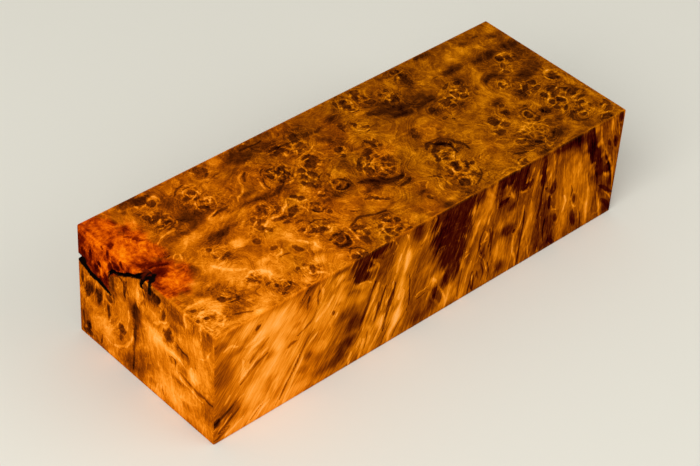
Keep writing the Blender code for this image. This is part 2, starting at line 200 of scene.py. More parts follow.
# Thin pale strands on the top
TOP_PALE_STRANDS = [
    (0.4, (18.2, 2.2), (19.7, 4.4), (18.8, 5.9)),
    (0.3, (17.2, 10.4), (17.5, 11.8), (15.6, 13.7), (13.4, 13), (12.2, 12.6)),
    (0.45, (9, 16.4), (13, 14.9), (16, 14.6), (17.6, 13.4), (18.3, 12.4)),
    (0.35, (26.8, 13.8), (26.9, 11.4), (28, 10.5), (29.4, 11.2), (29.3, 12.8), (28.3, 14.8), (27.2, 14.4)),
    (0.3, (27.7, 12.6), (28.2, 11.6), (28.7, 12.4)),
    (0.3, (22.8, 12.3), (24.4, 12.2), (25, 13.6), (26.2, 14.6)),
    (0.3, (24.6, 10.4), (24.6, 11.8)),
    (0.35, (24.2, 7.2), (25.2, 5.8), (27.4, 5.2), (29.2, 5.8)),
    (0.35, (25.2, 9.2), (26.6, 8.5), (27.4, 7.8)),
    (0.3, (28, 7.2), (28.2, 8.8)),
    (0.35, (24, 16.9), (25.5, 16.2), (27.4, 15.6)),
    (0.35, (31.5, 3.4), (32.3, 4.8), (33.4, 5.5)),
    (0.35, (31, 0.6), (31.3, 2.2)),
    (0.4, (17.4, 27.6), (17.6, 26.4), (18.6, 26.5), (19, 27.2)),
    (0.3, (16.6, 28.9), (18.2, 28.4)),
    (0.35, (27.2, 36), (29.2, 35.8), (30.3, 34.8)),
    (0.7, (14.2, 29.2), (15.2, 31.4), (17.4, 33.8), (20, 35.2)),
    (0.55, (17.6, 37.2), (19.6, 36.5), (21.6, 37.3), (23, 39.4), (21.6, 41.2)),
    (0.5, (0.6, 41), (2.4, 40), (4.6, 40.5), (6.1, 42.4), (5.9, 44.6), (4, 46)),
    (0.35, (1, 41.6), (2.4, 41), (3.7, 41.9)),
    (0.35, (1.8, 43.2), (2.6, 43.4)),
    (0.45, (0.2, 38.8), (0.9, 37.1), (2.4, 36.7), (4.4, 37.3)),
    (0.4, (9.8, 37.9), (10.3, 39.4), (11.2, 40.4)),
    (0.4, (22, 43.1), (23.6, 42.8), (24.2, 44), (23.4, 45.7)),
    (0.5, (29.4, 44.6), (31, 46.2), (32.6, 46.7)),
    (0.3, (29, 42.4), (30, 43.4)),
    (0.35, (46.2, 0.9), (48.2, 0.3)),
    (0.5, (41.2, 7.9), (39.2, 8.8), (38.1, 10.3), (37.8, 12), (36.4, 13.6), (34.8, 15), (33, 16.4)),
    (0.4, (42, 12.2), (41.3, 14.4), (41, 17.2)),
    (0.3, (43.7, 15.4), (45.5, 14.9), (47.2, 15.4), (48.4, 16.6), (49, 17.2)),
    (0.25, (46, 12), (46.2, 13.6), (46, 14.8)),
    (0.4, (45.4, 18.2), (47.2, 18.5), (49, 17.6), (50.4, 16.3), (51.9, 14.9)),
    (0.35, (50, 11.8), (50.8, 13.4)),
    (0.3, (51.9, 10.3), (53.6, 10.5), (54.9, 9.6), (56.2, 8.2)),
    (0.35, (52.7, 9.5), (53.5, 9.6)),
    (0.35, (54.1, 7.2), (54.7, 8)),
    (0.35, (59.8, 6.4), (60, 8)),
    (0.3, (55, 11.4), (56.2, 9.6)),
    (0.4, (53.8, 12.8), (56, 12.4), (58.4, 12), (60.6, 11.4)),
    (0.4, (58.8, 12.2), (59.7, 13.6), (60.2, 15.2)),
    (0.4, (51.4, 17.4), (51.8, 19.6), (52.5, 21.8)),
    (0.3, (54.4, 18.6), (55.2, 18), (56.4, 18.2)),
    (0.35, (55.6, 23.3), (54.2, 24), (53.4, 25.8), (53.6, 27.4), (54.6, 28.7), (56, 28.9)),
    (0.3, (55.2, 26.8), (55.3, 25.8), (56.2, 25.7)),
    (0.35, (64.9, 14.9), (65.9, 16), (65.2, 17.7)),
    (0.25, (63, 16.9), (63.6, 17.5), (64.6, 17.6)),
    (0.35, (37, 19.9), (37.5, 21.4), (37.4, 22.4)),
    (0.3, (34.9, 22.2), (35.6, 21.2), (36.3, 20.4)),
    (0.45, (34.6, 25.3), (36.6, 25.7), (38.6, 25.5), (39.8, 24.5), (41.2, 23.2), (42.6, 21.9)),
    (0.4, (42.6, 21.9), (43.4, 23.6), (44.4, 25.3), (46.2, 25.8)),
    (0.35, (43, 26), (43.4, 27.4), (43.2, 29.2)),
    (0.35, (45.2, 29), (46.4, 29.5), (47.2, 29)),
    (0.4, (49, 24.6), (50.4, 25.2), (51.9, 24.8)),
    (0.35, (38.6, 34.6), (40.6, 34.1), (42.6, 35.2), (43.6, 36.2)),
    (0.4, (38.4, 36.6), (41, 37.3), (43.6, 36.9), (45.4, 35.6)),
    (0.25, (63.5, 25.1), (64.8, 24.5), (65.7, 23.2)),
    (0.3, (65, 25.6), (66.2, 25.2), (67, 24.4)),
    (0.25, (63.4, 28.5), (64, 28.7)),
    (0.3, (50.4, 33.4), (51.8, 34.6), (53, 35.3)),
    (0.35, (40.3, 43.6), (42.4, 44.3), (44.3, 43.3), (45, 41.2), (44.6, 39.4)),
    (0.3, (41.1, 41.4), (42, 41.8), (43.4, 41.2)),
    (0.45, (46.6, 38.4), (46.3, 40.2), (46.2, 42), (45.8, 44)),
    (0.3, (49.4, 38.5), (50.4, 38.1)),
    (0.3, (42.4, 46.9), (43.8, 46.4), (44.4, 47.8)),
    (0.35, (54.3, 41.6), (54.5, 43), (55.4, 43.7)),
    (0.35, (50.2, 45.2), (51.6, 44.4), (53.6, 44.6), (55.2, 45), (56.6, 45.4)),
    (0.35, (54.2, 45.6), (53.8, 46.8)),
    (0.6, (34.6, 35), (36.4, 37.4), (37.4, 40.4)),
    (0.35, (78.9, 1.8), (79.4, 3.4), (79, 5)),
    (0.3, (76.2, 7.2), (78.6, 7)),
    (0.3, (73, 13.4), (74.2, 14.4), (75.8, 14.4)),
    (0.3, (75.3, 13.1), (75.7, 13.3)),
    (0.4, (87.3, 6.8), (87, 8.4), (87.8, 9.4)),
    (0.3, (89.4, 7.6), (90.2, 7.4)),
    (0.3, (94.4, 3), (95.4, 3.6), (96, 3.2)),
    (0.3, (98, 18.8), (98.9, 18.5)),
    (0.3, (95.2, 19.4), (95.9, 20)),
    (0.35, (94.8, 22.6), (95.8, 23.2)),
    (0.3, (66, 34.1), (68.6, 33.9), (70.9, 32.5)),
    (0.35, (67, 29.6), (67.3, 28), (68.2, 26.8), (69, 27.5), (68.5, 28.9)),
    (0.3, (66.6, 23.6), (67.6, 24.2), (68.8, 23.6)),
    (0.25, (72.2, 17), (72.5, 19)),
    (0.25, (72.8, 17.6), (73, 19.4)),
    (0.4, (70.3, 39.9), (71.3, 38.7), (72.4, 38.1)),
    (0.3, (81, 34), (81.2, 32.5), (82.4, 31.8), (83.6, 32.4)),
    (0.3, (83.4, 35.6), (84.6, 34.6), (85.6, 33.6)),
    (0.35, (84, 33.2), (84.9, 33.8)),
    (0.3, (80.3, 35.8), (82, 35.9), (83.4, 36.8), (84.6, 37)),
    (0.35, (78.4, 37.2), (79.2, 36.7)),
    (0.35, (80.3, 37.4), (80.2, 39.6), (80.8, 41), (82.4, 41.5)),
    (0.3, (83.2, 38.8), (83, 40), (83.8, 41.6), (84.8, 41.4), (84.6, 42.8)),
    (0.25, (85.2, 38.2), (85, 40.2)),
    (0.35, (77.8, 43.6), (78.4, 42.3), (80, 41.9), (81, 42.9), (80.8, 44.8), (79.4, 45.6)),
    (0.35, (81.4, 42.2), (81.7, 43.6)),
    (0.3, (94, 46.6), (95.6, 45.9), (97.3, 46.6)),
    (0.5, (88, 47.2), (91, 46.8), (93, 47.6)),
    (0.4, (106.6, 35.8), (107.6, 37.4), (109.2, 39), (110.3, 41.6)),
    (0.35, (100.6, 18.4), (101, 16.4), (102.6, 15.8), (103.3, 16.6)),
    (0.3, (104.4, 15.3), (105.4, 15.4)),
    (0.3, (105.7, 16.8), (105.2, 18.8), (104.2, 20)),
    (0.35, (121.4, 12.8), (122.6, 12.4), (124.2, 12.6), (124.8, 13.4)),
    (0.4, (120.8, 15.4), (121.8, 16.4), (122.6, 17.6)),
    (0.3, (118, 18.9), (118.9, 17.2), (120.7, 15.7)),
    (0.25, (119.2, 20), (120.6, 18.7)),
    (0.25, (112.4, 23.9), (113.8, 23.1), (114.6, 22)),
    (0.25, (114.8, 23.9), (115.2, 22.4), (116.2, 21.2)),
    (0.35, (115.6, 27.4), (116.4, 26.2), (117.8, 24.7)),
    (0.35, (125.2, 28.4), (125.1, 26.5), (126.4, 24.8), (128, 24.8)),
    (0.3, (119, 26.4), (119.6, 25), (121, 24.6)),
    (0.3, (117, 34.7), (119, 33.1), (121, 31.6), (123.4, 31.3), (127.6, 31.2)),
    (0.3, (100.4, 30.7), (101.3, 30.8), (101.6, 31.6)),
    (0.3, (108.8, 36.1), (108.6, 34.6), (109.4, 33.4), (110.7, 33.2)),
    (0.3, (109.6, 36.5), (110.8, 36.3), (111.3, 35.4)),
    (0.3, (123.1, 34.9), (124.4, 33.8), (126.6, 33.4)),
    (0.35, (123, 36.8), (126, 36.7), (128.2, 36)),
    (0.3, (119.7, 34.6), (120.8, 34.1), (122, 34.6), (122.1, 36.2), (121, 37)),
    (0.4, (116.8, 39.8), (117.6, 39), (118.6, 38.1)),
    (0.3, (122.4, 38.3), (124, 38.4), (125.2, 39.6), (124.8, 40.9), (123.4, 41)),
    (0.3, (119.8, 42.4), (121.2, 42.3), (122.4, 43.4), (121.6, 44.5)),
    (0.3, (123, 46.7), (125.2, 45.9), (127, 46.8)),
    (0.3, (126.6, 43.8), (128.4, 44)),
    (0.3, (99.6, 40.4), (101.2, 40.1), (102.4, 41.6)),
    (0.35, (104.4, 45.8), (104.8, 46.8), (106.1, 46.8), (106.5, 45.8)),
    (0.3, (105, 45), (106, 44.4), (107, 43.4)),
    (0.35, (98.6, 44.3), (100, 45), (101.6, 45.3)),
    (0.3, (76.2, 38.4), (76, 40.4), (75.6, 42.8)),
    (0.35, (73.2, 41), (73.4, 43.4)),
    (0.35, (9, 22.6), (10.4, 21.6), (11.2, 20.8)),
    (0.3, (10.4, 24.4), (11.2, 23), (11.8, 21.8)),
]

# Clouds on the top, as broad light and shade: tone, along, across, half length, half width, turn
TOP_CLOUDS = [
    (-0.17, 21.6, 14, 4.4, 2.8, -10), (-0.13, 18, 16.9, 4.4, 1.1, -6), (-0.12, 20.2, 9.4, 2.2, 4.8),
    (-0.2, 23.4, 22.2, 5.6, 1.2, -8), (-0.1, 27.5, 19.8, 4.5, 0.9), (0.14, 17, 19.4, 4.5, 1.6, -10),
    (0.18, 24, 27.6, 2.6, 1.5), (0.2, 24.3, 35.4, 1.6, 1.1), (0.22, 22.6, 38.8, 1.8, 2.6),
    (0.24, 6.8, 40.2, 1.6, 2.2), (0.18, 5.6, 37.4, 2, 0.7), (-0.1, 9.6, 29.6, 1.6, 3.4),
    (0.18, 27.4, 46.4, 1.8, 0.9), (0.2, 13.4, 47.6, 2.4, 0.8), (0.14, 17.4, 45.4, 2.6, 1.8),
    (-0.12, 11.6, 43.6, 3, 1.2, 20), (0.1, 10.8, 34, 2, 1), (-0.14, 6.4, 35.3, 1.2, 0.9),
    (-0.24, 43, 3.4, 3.8, 2.6, 10), (-0.14, 50.5, 4.2, 5, 1.6), (0.16, 42.2, 6.6, 1.5, 0.8),
    (-0.2, 41.6, 18.8, 5.4, 1.3), (-0.12, 35.2, 18.2, 3.4, 1), (0.14, 36, 17, 1.2, 0.8),
    (-0.14, 37.2, 15.4, 2, 0.9), (0.16, 38, 1.4, 1.6, 1.6), (0.12, 36.2, 5.5, 1.4, 2.6),
    (-0.1, 60.6, 21, 2.6, 1.3), (-0.18, 60.6, 32, 2.8, 1.3), (-0.12, 52, 29, 3.4, 0.9),
    (0.16, 48, 22.6, 1.6, 1.4), (0.14, 51.2, 24.2, 1.2, 0.8), (0.16, 34.4, 33.4, 1.4, 1.6),
    (0.2, 36.9, 39.4, 1.6, 1.8), (0.16, 34.4, 42.8, 1.8, 1.6), (0.12, 45.8, 42.4, 0.8, 1.6),
    (0.1, 57, 37.2, 3, 1.4, 20), (0.1, 60.2, 40.4, 2.2, 1.2), (-0.16, 43.6, 39.4, 2, 1.2),
    (-0.22, 71.2, 6.2, 2.6, 1.8), (-0.14, 64.6, 7, 2.2, 1.4), (-0.18, 63.8, 11.2, 2, 1.4, 30),
    (0.12, 77.6, 9, 1.8, 0.7), (-0.24, 81, 11, 3.4, 1.2, 25), (-0.24, 86.8, 13.2, 3, 1, 10),
    (-0.22, 86, 15.6, 3.2, 1.2, 15), (-0.18, 94, 15.6, 4.6, 1.6), (-0.16, 95.6, 6.6, 1.8, 2.2),
    (0.14, 91.6, 4.2, 1.2, 2.6), (-0.12, 98.6, 21.8, 2.6, 1.4), (-0.14, 92.6, 19.8, 2.4, 1.6),
    (0.12, 88, 20.4, 3, 1.6, -10), (0.1, 77, 23.4, 1.6, 4.4), (0.12, 74.6, 22, 1.2, 2.2),
    (-0.16, 71.3, 25.8, 1.3, 1.5), (0.1, 76, 29.4, 3, 2, -30), (0.08, 94, 30, 4, 4.5),
    (-0.1, 82.2, 24.4, 1.6, 1), (0.16, 73, 46.6, 1.8, 1.3), (-0.12, 68, 40, 2, 0.7),
    (0.12, 72.4, 40.6, 2, 1.6), (-0.16, 83.8, 30.4, 3.6, 2.4), (-0.12, 86.8, 33, 1.6, 3.4),
    (0.14, 95.3, 39.2, 0.9, 1.4), (-0.12, 97.6, 42.6, 2.4, 1.4, 30), (-0.18, 70.8, 47.4, 2.2, 1),
    (-0.14, 105.8, 0.8, 3, 1), (0.12, 112.6, 5.2, 4.6, 2.2, -10), (-0.14, 118.4, 3.6, 2.6, 1),
    (-0.14, 127.6, 5.4, 1.9, 1.3), (0.12, 123.4, 6.6, 3.4, 1), (-0.24, 108.2, 9.8, 4.2, 1.5, 6),
    (-0.22, 119, 10.8, 4.4, 1.6, -4), (-0.3, 127.4, 10.8, 3.6, 1.8), (-0.18, 106.2, 15, 1.3, 3),
    (0.16, 110.8, 15.6, 1.4, 4.6, 28), (0.1, 113.6, 12.2, 1, 2, 20), (-0.2, 113.4, 17.8, 3.6, 1.2, -10),
    (-0.16, 115.8, 19.2, 1.6, 1.3), (-0.26, 122.2, 22.4, 4.2, 1.8, -6), (-0.16, 127, 20, 2.2, 2.6),
    (-0.14, 126.6, 15.4, 2.4, 2), (0.1, 103.8, 23.8, 3.6, 1.5, -20), (0.12, 109.4, 20.6, 2.4, 1.6, -40),
    (-0.12, 107.4, 26.2, 2, 1.2, -10), (-0.12, 114.8, 27.4, 1.4, 2.4), (0.1, 112.8, 30.4, 3, 1),
    (0.16, 128.4, 30.6, 0.9, 4.4), (0.14, 128.9, 37.4, 0.7, 3.4), (-0.2, 118.2, 42, 1.8, 1.8),
    (-0.16, 110.6, 44.6, 3.2, 1.8), (-0.12, 112.6, 40.4, 3.2, 1.2), (0.12, 114.2, 46.2, 2.6, 1.4),
    (-0.16, 103, 43.4, 2.2, 0.9), (-0.12, 102, 38.6, 1.8, 0.6), (0.1, 104.6, 38, 2.4, 0.8, -10),
    (-0.12, 101.4, 47.6, 3, 0.8), (0.12, 124.4, 44.4, 2, 1.4, -20), (-0.12, 118.6, 27, 3, 1.8),
    (0.12, 3.4, 3.6, 3.4, 2.4), (0.1, 9.4, 7.6, 1.2, 3.6, 20), (-0.18, 3, 8.3, 0.9, 0.9),
    (-0.2, 1, 10.7, 0.9, 0.9), (-0.14, 6.3, 4.6, 0.9, 0.9), (-0.14, 7.2, 7.6, 0.8, 1.4),
    (0.1, 1.6, 15, 2, 2.2), (0.1, 5.6, 16.8, 1.2, 1.4), (-0.26, 4, 21, 3, 1.2, 15),
    (-0.3, 3.2, 24.2, 3.6, 1.7), (-0.12, 8.2, 20.4, 2, 1), (0.1, 5.6, 28, 2, 1.6),
    (-0.14, 1.4, 28.4, 1.2, 1), (-0.14, 4, 32.8, 0.9, 1), (-0.12, 2.4, 31.4, 0.8, 1),
    (-0.14, 2.6, 19.4, 0.9, 0.7), (-0.16, 10.8, 27.6, 1, 1.4), (-0.1, 10.4, 3.4, 0.7, 0.9),
    (0.1, 3, 14, 4.4, 10), (0.14, 4, 45, 8, 6), (0.1, 6, 32, 5, 4), (0.16, 19, 34, 6, 5),
    (0.12, 15, 28.6, 3.4, 4), (0.14, 33.6, 28, 4, 6.4), (0.1, 18.6, 40.6, 4.4, 3.6),
    (0.14, 35.4, 43.6, 5.4, 4.4), (0.12, 26, 38.6, 3.6, 4), (0.1, 28.4, 46.6, 5, 2.6),
    (0.06, 24.6, 18.4, 4, 2), (0.12, 13, 45.6, 5.4, 3), (-0.1, 52, 5.6, 14, 4), (-0.16, 61.4, 4.8, 2.6, 4),
    (-0.14, 16, 13.4, 2, 3), (-0.1, 28.6, 12.6, 3.4, 3), (-0.06, 51, 18, 9, 8), (-0.1, 88, 13, 8, 5.4, 15),
    (-0.1, 88, 14.4, 3.6, 2.6), (-0.1, 94.4, 11, 2.6, 3.6, 20), (-0.14, 64.6, 30.4, 3.6, 2.4, 25),
    (-0.1, 68.4, 34, 2.6, 2), (-0.1, 74.2, 28.8, 2.6, 2), (0.08, 76, 33.6, 3, 2.4),
    (0.07, 62.8, 36, 3, 2.4), (0.06, 46, 34.6, 5, 4), (0.14, 107, 23.6, 2.6, 2.6),
    (0.08, 87.6, 24.6, 4, 4), (0.1, 85, 29.4, 2, 2), (-0.08, 115, 14, 3.6, 2.6),
    (-0.12, 128.6, 14.6, 2.4, 3.6), (-0.08, 92, 2.2, 3.6, 2.6), (-0.12, 77, 47, 3.6, 2.4),
    (-0.1, 104, 46.4, 4, 3), (0.08, 91, 41.6, 2.6, 5), (-0.08, 10.6, 36.6, 2.4, 5),
    (0.08, 104.4, 8.6, 3, 2), (0.12, 127.4, 10.6, 3, 1.6), (-0.05, 66, 14, 3, 6), (-0.08, 21.4, 6, 3, 3),
    (-0.06, 43, 43, 3, 4), (-0.06, 54, 26.6, 7, 3.4), (-0.12, 19.4, 29.8, 1.8, 1.4, 30),
    (-0.14, 18.6, 38.4, 2, 1.4, 20), (-0.1, 3, 42, 1.2, 1.2), (-0.08, 2.2, 38.4, 1.4, 1),
    (-0.16, 22, 45.6, 3.2, 2), (-0.12, 96, 3, 1.8, 3), (-0.1, 92.6, 18.4, 1.8, 1.4),
    (-0.1, 82.6, 22.6, 2, 1.4), (-0.14, 107.2, 27, 2.2, 1.4, -20), (-0.14, 114.2, 36.4, 1.9, 1.7),
    (-0.1, 115.4, 28.2, 1.4, 1.6), (0.14, 42.4, 40.7, 1, 0.9), (0.1, 56, 42, 0.8, 0.7),
    (-0.1, 42.6, 42.4, 2.6, 1.6), (-0.08, 79.4, 43.6, 1.6, 1.4), (-0.1, 68.2, 20.8, 2.2, 2),
    (-0.1, 72.2, 20.2, 1.4, 2.4), (0.1, 68, 27, 2.4, 3.2), (0.1, 83.4, 33.6, 2.4, 1.6),
    (0.07, 83.4, 41.4, 2.8, 3.4), (-0.07, 84.4, 30.4, 2.6, 1.6), (-0.14, 16.6, 1, 3.4, 1.8),
    (-0.08, 3.4, 4.6, 2.2, 2), (-0.08, 15.6, 8.4, 2, 2), (-0.18, 8.6, 44.4, 3, 2.2),
    (-0.08, 12, 41.4, 1.6, 1.6), (-0.12, 34.4, 41, 3.4, 1.6), (-0.08, 32.4, 23.4, 3, 1.8),
    (-0.14, 38.6, 27.4, 1.8, 2.2), (-0.08, 33, 45.4, 1.6, 1.6), (-0.09, 56, 41, 3, 1.6),
    (-0.1, 51, 0.6, 6, 1.2), (-0.08, 41.4, 7.4, 3, 1.6), (-0.09, 53, 7.4, 3, 1.4),
    (-0.1, 49, 16.6, 2.4, 2), (-0.12, 62.8, 23.2, 2.4, 1.6), (-0.09, 66, 14.8, 1.6, 2.6, 30),
    (-0.09, 74.6, 3.2, 3, 1.6), (-0.12, 71.6, 10, 2, 1.6), (-0.1, 77.4, 22, 2.2, 2),
    (-0.08, 80.4, 0.8, 3, 1.4), (-0.09, 83, 7.6, 3, 2), (-0.1, 83.4, 43.6, 2, 2.2),
    (-0.1, 82.4, 33.6, 1.8, 1.4), (-0.06, 98.6, 19, 1.6, 2.4), (-0.12, 123.4, 7, 2, 1.8),
    (-0.06, 119.6, 15, 3, 2.4), (-0.07, 69.6, 27, 2.4, 2), (0.07, 1, 1, 2, 1.4),
    (0.08, 2.4, 8.2, 2.4, 1.4), (0.12, 6.6, 25.4, 2.6, 2, 30), (0.1, 7, 31.4, 1.8, 1.8),
    (0.12, 5, 37.4, 2.6, 1.6), (0.12, 26, 18, 3, 1.4, 20), (0.1, 33.4, 19.6, 5.4, 1.4),
    (0.07, 31.4, 6.4, 2, 2.4), (0.12, 44.6, 3.8, 1.8, 1.4), (0.08, 54, 4.2, 5, 1.4),
    (0.1, 61.6, 11.4, 2.2, 2), (0.1, 68.8, 16.4, 1.6, 3.4, 20), (0.14, 35.4, 36, 2.4, 1.4, 20),
    (0.09, 30, 31.4, 1.8, 1.8), (0.09, 23.4, 27.4, 1.8, 2), (0.1, 53, 32.4, 1.4, 2.4),
    (0.09, 72.4, 24, 2.2, 1.6), (0.07, 74, 16, 1.8, 2.2), (0.1, 78, 8, 1.6, 1.8), (0.08, 86, 17, 3.4, 1.6),
    (0.08, 85.6, 36.4, 2.6, 1.6), (0.09, 92.4, 36.4, 2.4, 3), (0.09, 92.4, 8, 1.6, 2),
    (0.18, 98.6, 47.4, 2, 2.2), (0.09, 104, 34.6, 3, 1.6, -30), (0.07, 106.4, 8, 2.4, 2.2),
    (0.09, 110, 25.6, 2.4, 3.6, 30), (0.1, 117.4, 5.4, 2.4, 2.8, 30), (0.18, 128.6, 3, 2.6, 2.4),
    (0.12, 113.8, 33.6, 1.6, 2.6), (0.09, 121.6, 22, 3.6, 1.4), (0.08, 127, 17, 1.6, 2.4),
    (0.08, 101.4, 28, 2.4, 1.8), (0.09, 61, 46.4, 3.4, 2), (0.08, 57.4, 23.6, 1.8, 2.4, -30),
    (0.1, 12, 48, 3, 1.4), (0.14, 21.4, 47, 2, 1.6), (0.07, 44.6, 31.4, 1.8, 2),
    (-0.12, 84.4, 10.6, 2.6, 1.8, 20), (-0.12, 93.6, 14.2, 3.4, 2.2, 10), (-0.08, 84, 14.6, 2.4, 1.2, 20),
    (-0.1, 84.4, 28.4, 3, 1), (0.1, 87, 30.6, 1.2, 1.8), (-0.08, 88.4, 32.4, 0.8, 3, -10),
    (0.08, 84.6, 28.6, 2.6, 1.6), (0.1, 66, 43.6, 2.4, 1.4), (0.08, 6.6, 6, 2.6, 2.6),
    (0.06, 3.6, 13, 2.4, 3), (0.05, 9, 12, 2.6, 2.4), (0.06, 2, 21, 1.8, 3), (0.06, 71.6, 24, 1.8, 2),
    (0.05, 53, 13.4, 2.4, 1.8), (0.06, 46, 38, 2.4, 2), (0.05, 97, 41.6, 2.6, 2),
    (-0.1, 64.6, 23.8, 1.8, 1.4), (-0.12, 101.6, 32.4, 1.6, 1.4), (-0.08, 18, 28, 2.4, 1.8),
    (-0.08, 16, 1.6, 2.8, 1.4), (-0.06, 16.4, 11, 2, 1.8), (-0.07, 58.6, 33.4, 1.8, 1.6),
    (-0.08, 120, 33, 2, 1.8), (-0.06, 44, 48, 3, 1.4), (-0.05, 44, 0.4, 3, 1.2), (-0.05, 74, 12.2, 2, 1.6),
    (-0.12, 126.4, 27.4, 0.9, 1.8, 15), (-0.12, 122, 30.7, 1.3, 0.8, -20), (-0.1, 118.4, 31.5, 0.8, 0.8),
    (-0.12, 120.8, 35.3, 0.9, 1), (-0.08, 118.4, 35.2, 0.7, 1), (-0.06, 125.4, 34.4, 1.5, 1.5),
    (-0.1, 119.6, 38.4, 1.1, 0.6, -10), (-0.1, 125.2, 37.8, 1.1, 0.7), (-0.08, 123.6, 39.4, 0.8, 0.5),
    (-0.06, 113.8, 36.4, 1.3, 1.2), (-0.1, 116.9, 26.6, 0.6, 1.5, 30), (-0.08, 120.5, 25.4, 1.2, 0.8),
    (-0.1, 101.4, 30.8, 1.2, 1.1), (-0.08, 102.4, 33.4, 1, 0.8), (-0.1, 105.8, 30.2, 1, 1.1),
    (-0.1, 99.2, 35.6, 1.1, 0.9), (-0.08, 104.4, 41.6, 2.4, 2), (-0.06, 101.6, 41, 1.6, 1.2),
    (-0.08, 109.6, 34.4, 1.2, 1.3), (0.06, 119.6, 42.4, 1.6, 1.2), (0.06, 112.6, 38.6, 2.2, 1.8),
    (-0.12, 52, 6.4, 1.9, 1), (-0.1, 50.8, 8.2, 1.1, 1.2), (0.12, 53.2, 9.6, 0.7, 0.9, 30),
    (-0.12, 44.6, 13.8, 0.8, 1.1), (-0.12, 46.9, 13.3, 0.8, 0.8), (-0.1, 48.7, 14.6, 0.9, 1),
    (-0.08, 46.8, 16.8, 1.4, 0.6), (-0.08, 42.3, 40.6, 0.9, 0.9), (-0.08, 70.4, 9.4, 1.1, 2.2),
    (-0.12, 86.2, 9.4, 0.7, 1.2), (-0.12, 88.5, 9.8, 0.8, 1.2), (-0.06, 89.6, 7.2, 0.8, 0.8),
    (0.08, 92, 13.6, 2.2, 2.4), (-0.05, 82.4, 21.8, 1.8, 1.2), (-0.08, 84.4, 30, 1.4, 1.1),
    (-0.1, 84.6, 34.4, 0.9, 0.7), (-0.1, 81.6, 37.8, 0.8, 1.1), (-0.14, 68.9, 42.6, 0.5, 0.8),
    (-0.1, 1.2, 10.8, 1.2, 0.6), (-0.06, 18.6, 29.4, 1.8, 1.2), (0.12, 10.2, 38.6, 0.6, 1, -20),
    (-0.08, 93.4, 28.4, 2.4, 1.6), (-0.1, 68.6, 30, 1.6, 1.2), (-0.06, 43.6, 22.6, 2, 1.6),
    (-0.06, 37, 27.6, 3, 1.6), (0.08, 14, 42.8, 2, 1.4), (0.06, 92.4, 14.6, 1.6, 1.2),
    (0.05, 52.6, 14, 2.6, 1.6), (0.05, 24, 20.4, 3.6, 1.4), (-0.1, 59.2, 8.2, 1.4, 1.2),
    (-0.08, 82.2, 4.6, 1.2, 1.8), (-0.06, 15, 3.6, 2.4, 1.2), (-0.08, 18.4, 1.6, 1.6, 1.4),
    (-0.06, 26.4, 8, 1.4, 1.8), (-0.05, 36, 5.4, 1.2, 1.6), (-0.06, 66.8, 23.2, 1.8, 1.4),
    (-0.08, 63.6, 18.2, 1.6, 1.4), (-0.1, 110.8, 36.8, 1.4, 1.4), (-0.06, 75, 29.8, 2, 1.2),
    (-0.06, 88.8, 26, 1.4, 1.8), (-0.08, 53, 45.4, 1.4, 2), (-0.08, 42, 48.4, 5, 1.2),
    (-0.06, 23, 40.4, 2.6, 1.2), (-0.05, 30.4, 40.6, 1.6, 1.2), (-0.1, 0.4, 18.4, 1.4, 1.4),
    (-0.05, 34.4, 12.6, 1.4, 1.6), (-0.06, 47.4, 14, 1.2, 1.6), (-0.06, 81.8, 33.6, 1.6, 1.6),
    (-0.06, 128, 1.8, 1.6, 1.4), (0.1, 84, 26.8, 2.2, 2.2), (0.1, 67.8, 20, 1, 1.2),
    (0.08, 73.6, 25.6, 1.4, 1.4), (0.08, 49, 24.4, 1.6, 1.2), (0.08, 24, 44.4, 2.2, 1.4),
    (0.08, 38.6, 44.6, 1.8, 1.4), (0.06, 8, 16, 2.6, 2), (0.06, 29.6, 20.2, 1.4, 2),
    (0.08, 0.8, 28.6, 1.6, 1.2), (0.08, 2.4, 38.8, 3.4, 1.6), (0.06, 7.6, 33, 2.6, 1.6),
    (0.06, 41, 17.6, 3.4, 1.2), (0.08, 123, 27.6, 1.8, 1.2), (0.06, 125.4, 21.4, 1.8, 1.2),
    (0.06, 129, 26.8, 1.2, 1.6), (0.08, 105.2, 40.8, 1.2, 1.4), (0.06, 120.2, 5, 1.4, 2.4),
    (0.06, 32.6, 2.4, 1.6, 1.6), (0.05, 94, 17, 1.6, 2), (0.06, 106.8, 20.8, 1.6, 1.4),
    (0.06, 37.8, 37.2, 2, 1.4), (0.05, 23, 3.4, 1.6, 1.6),
]

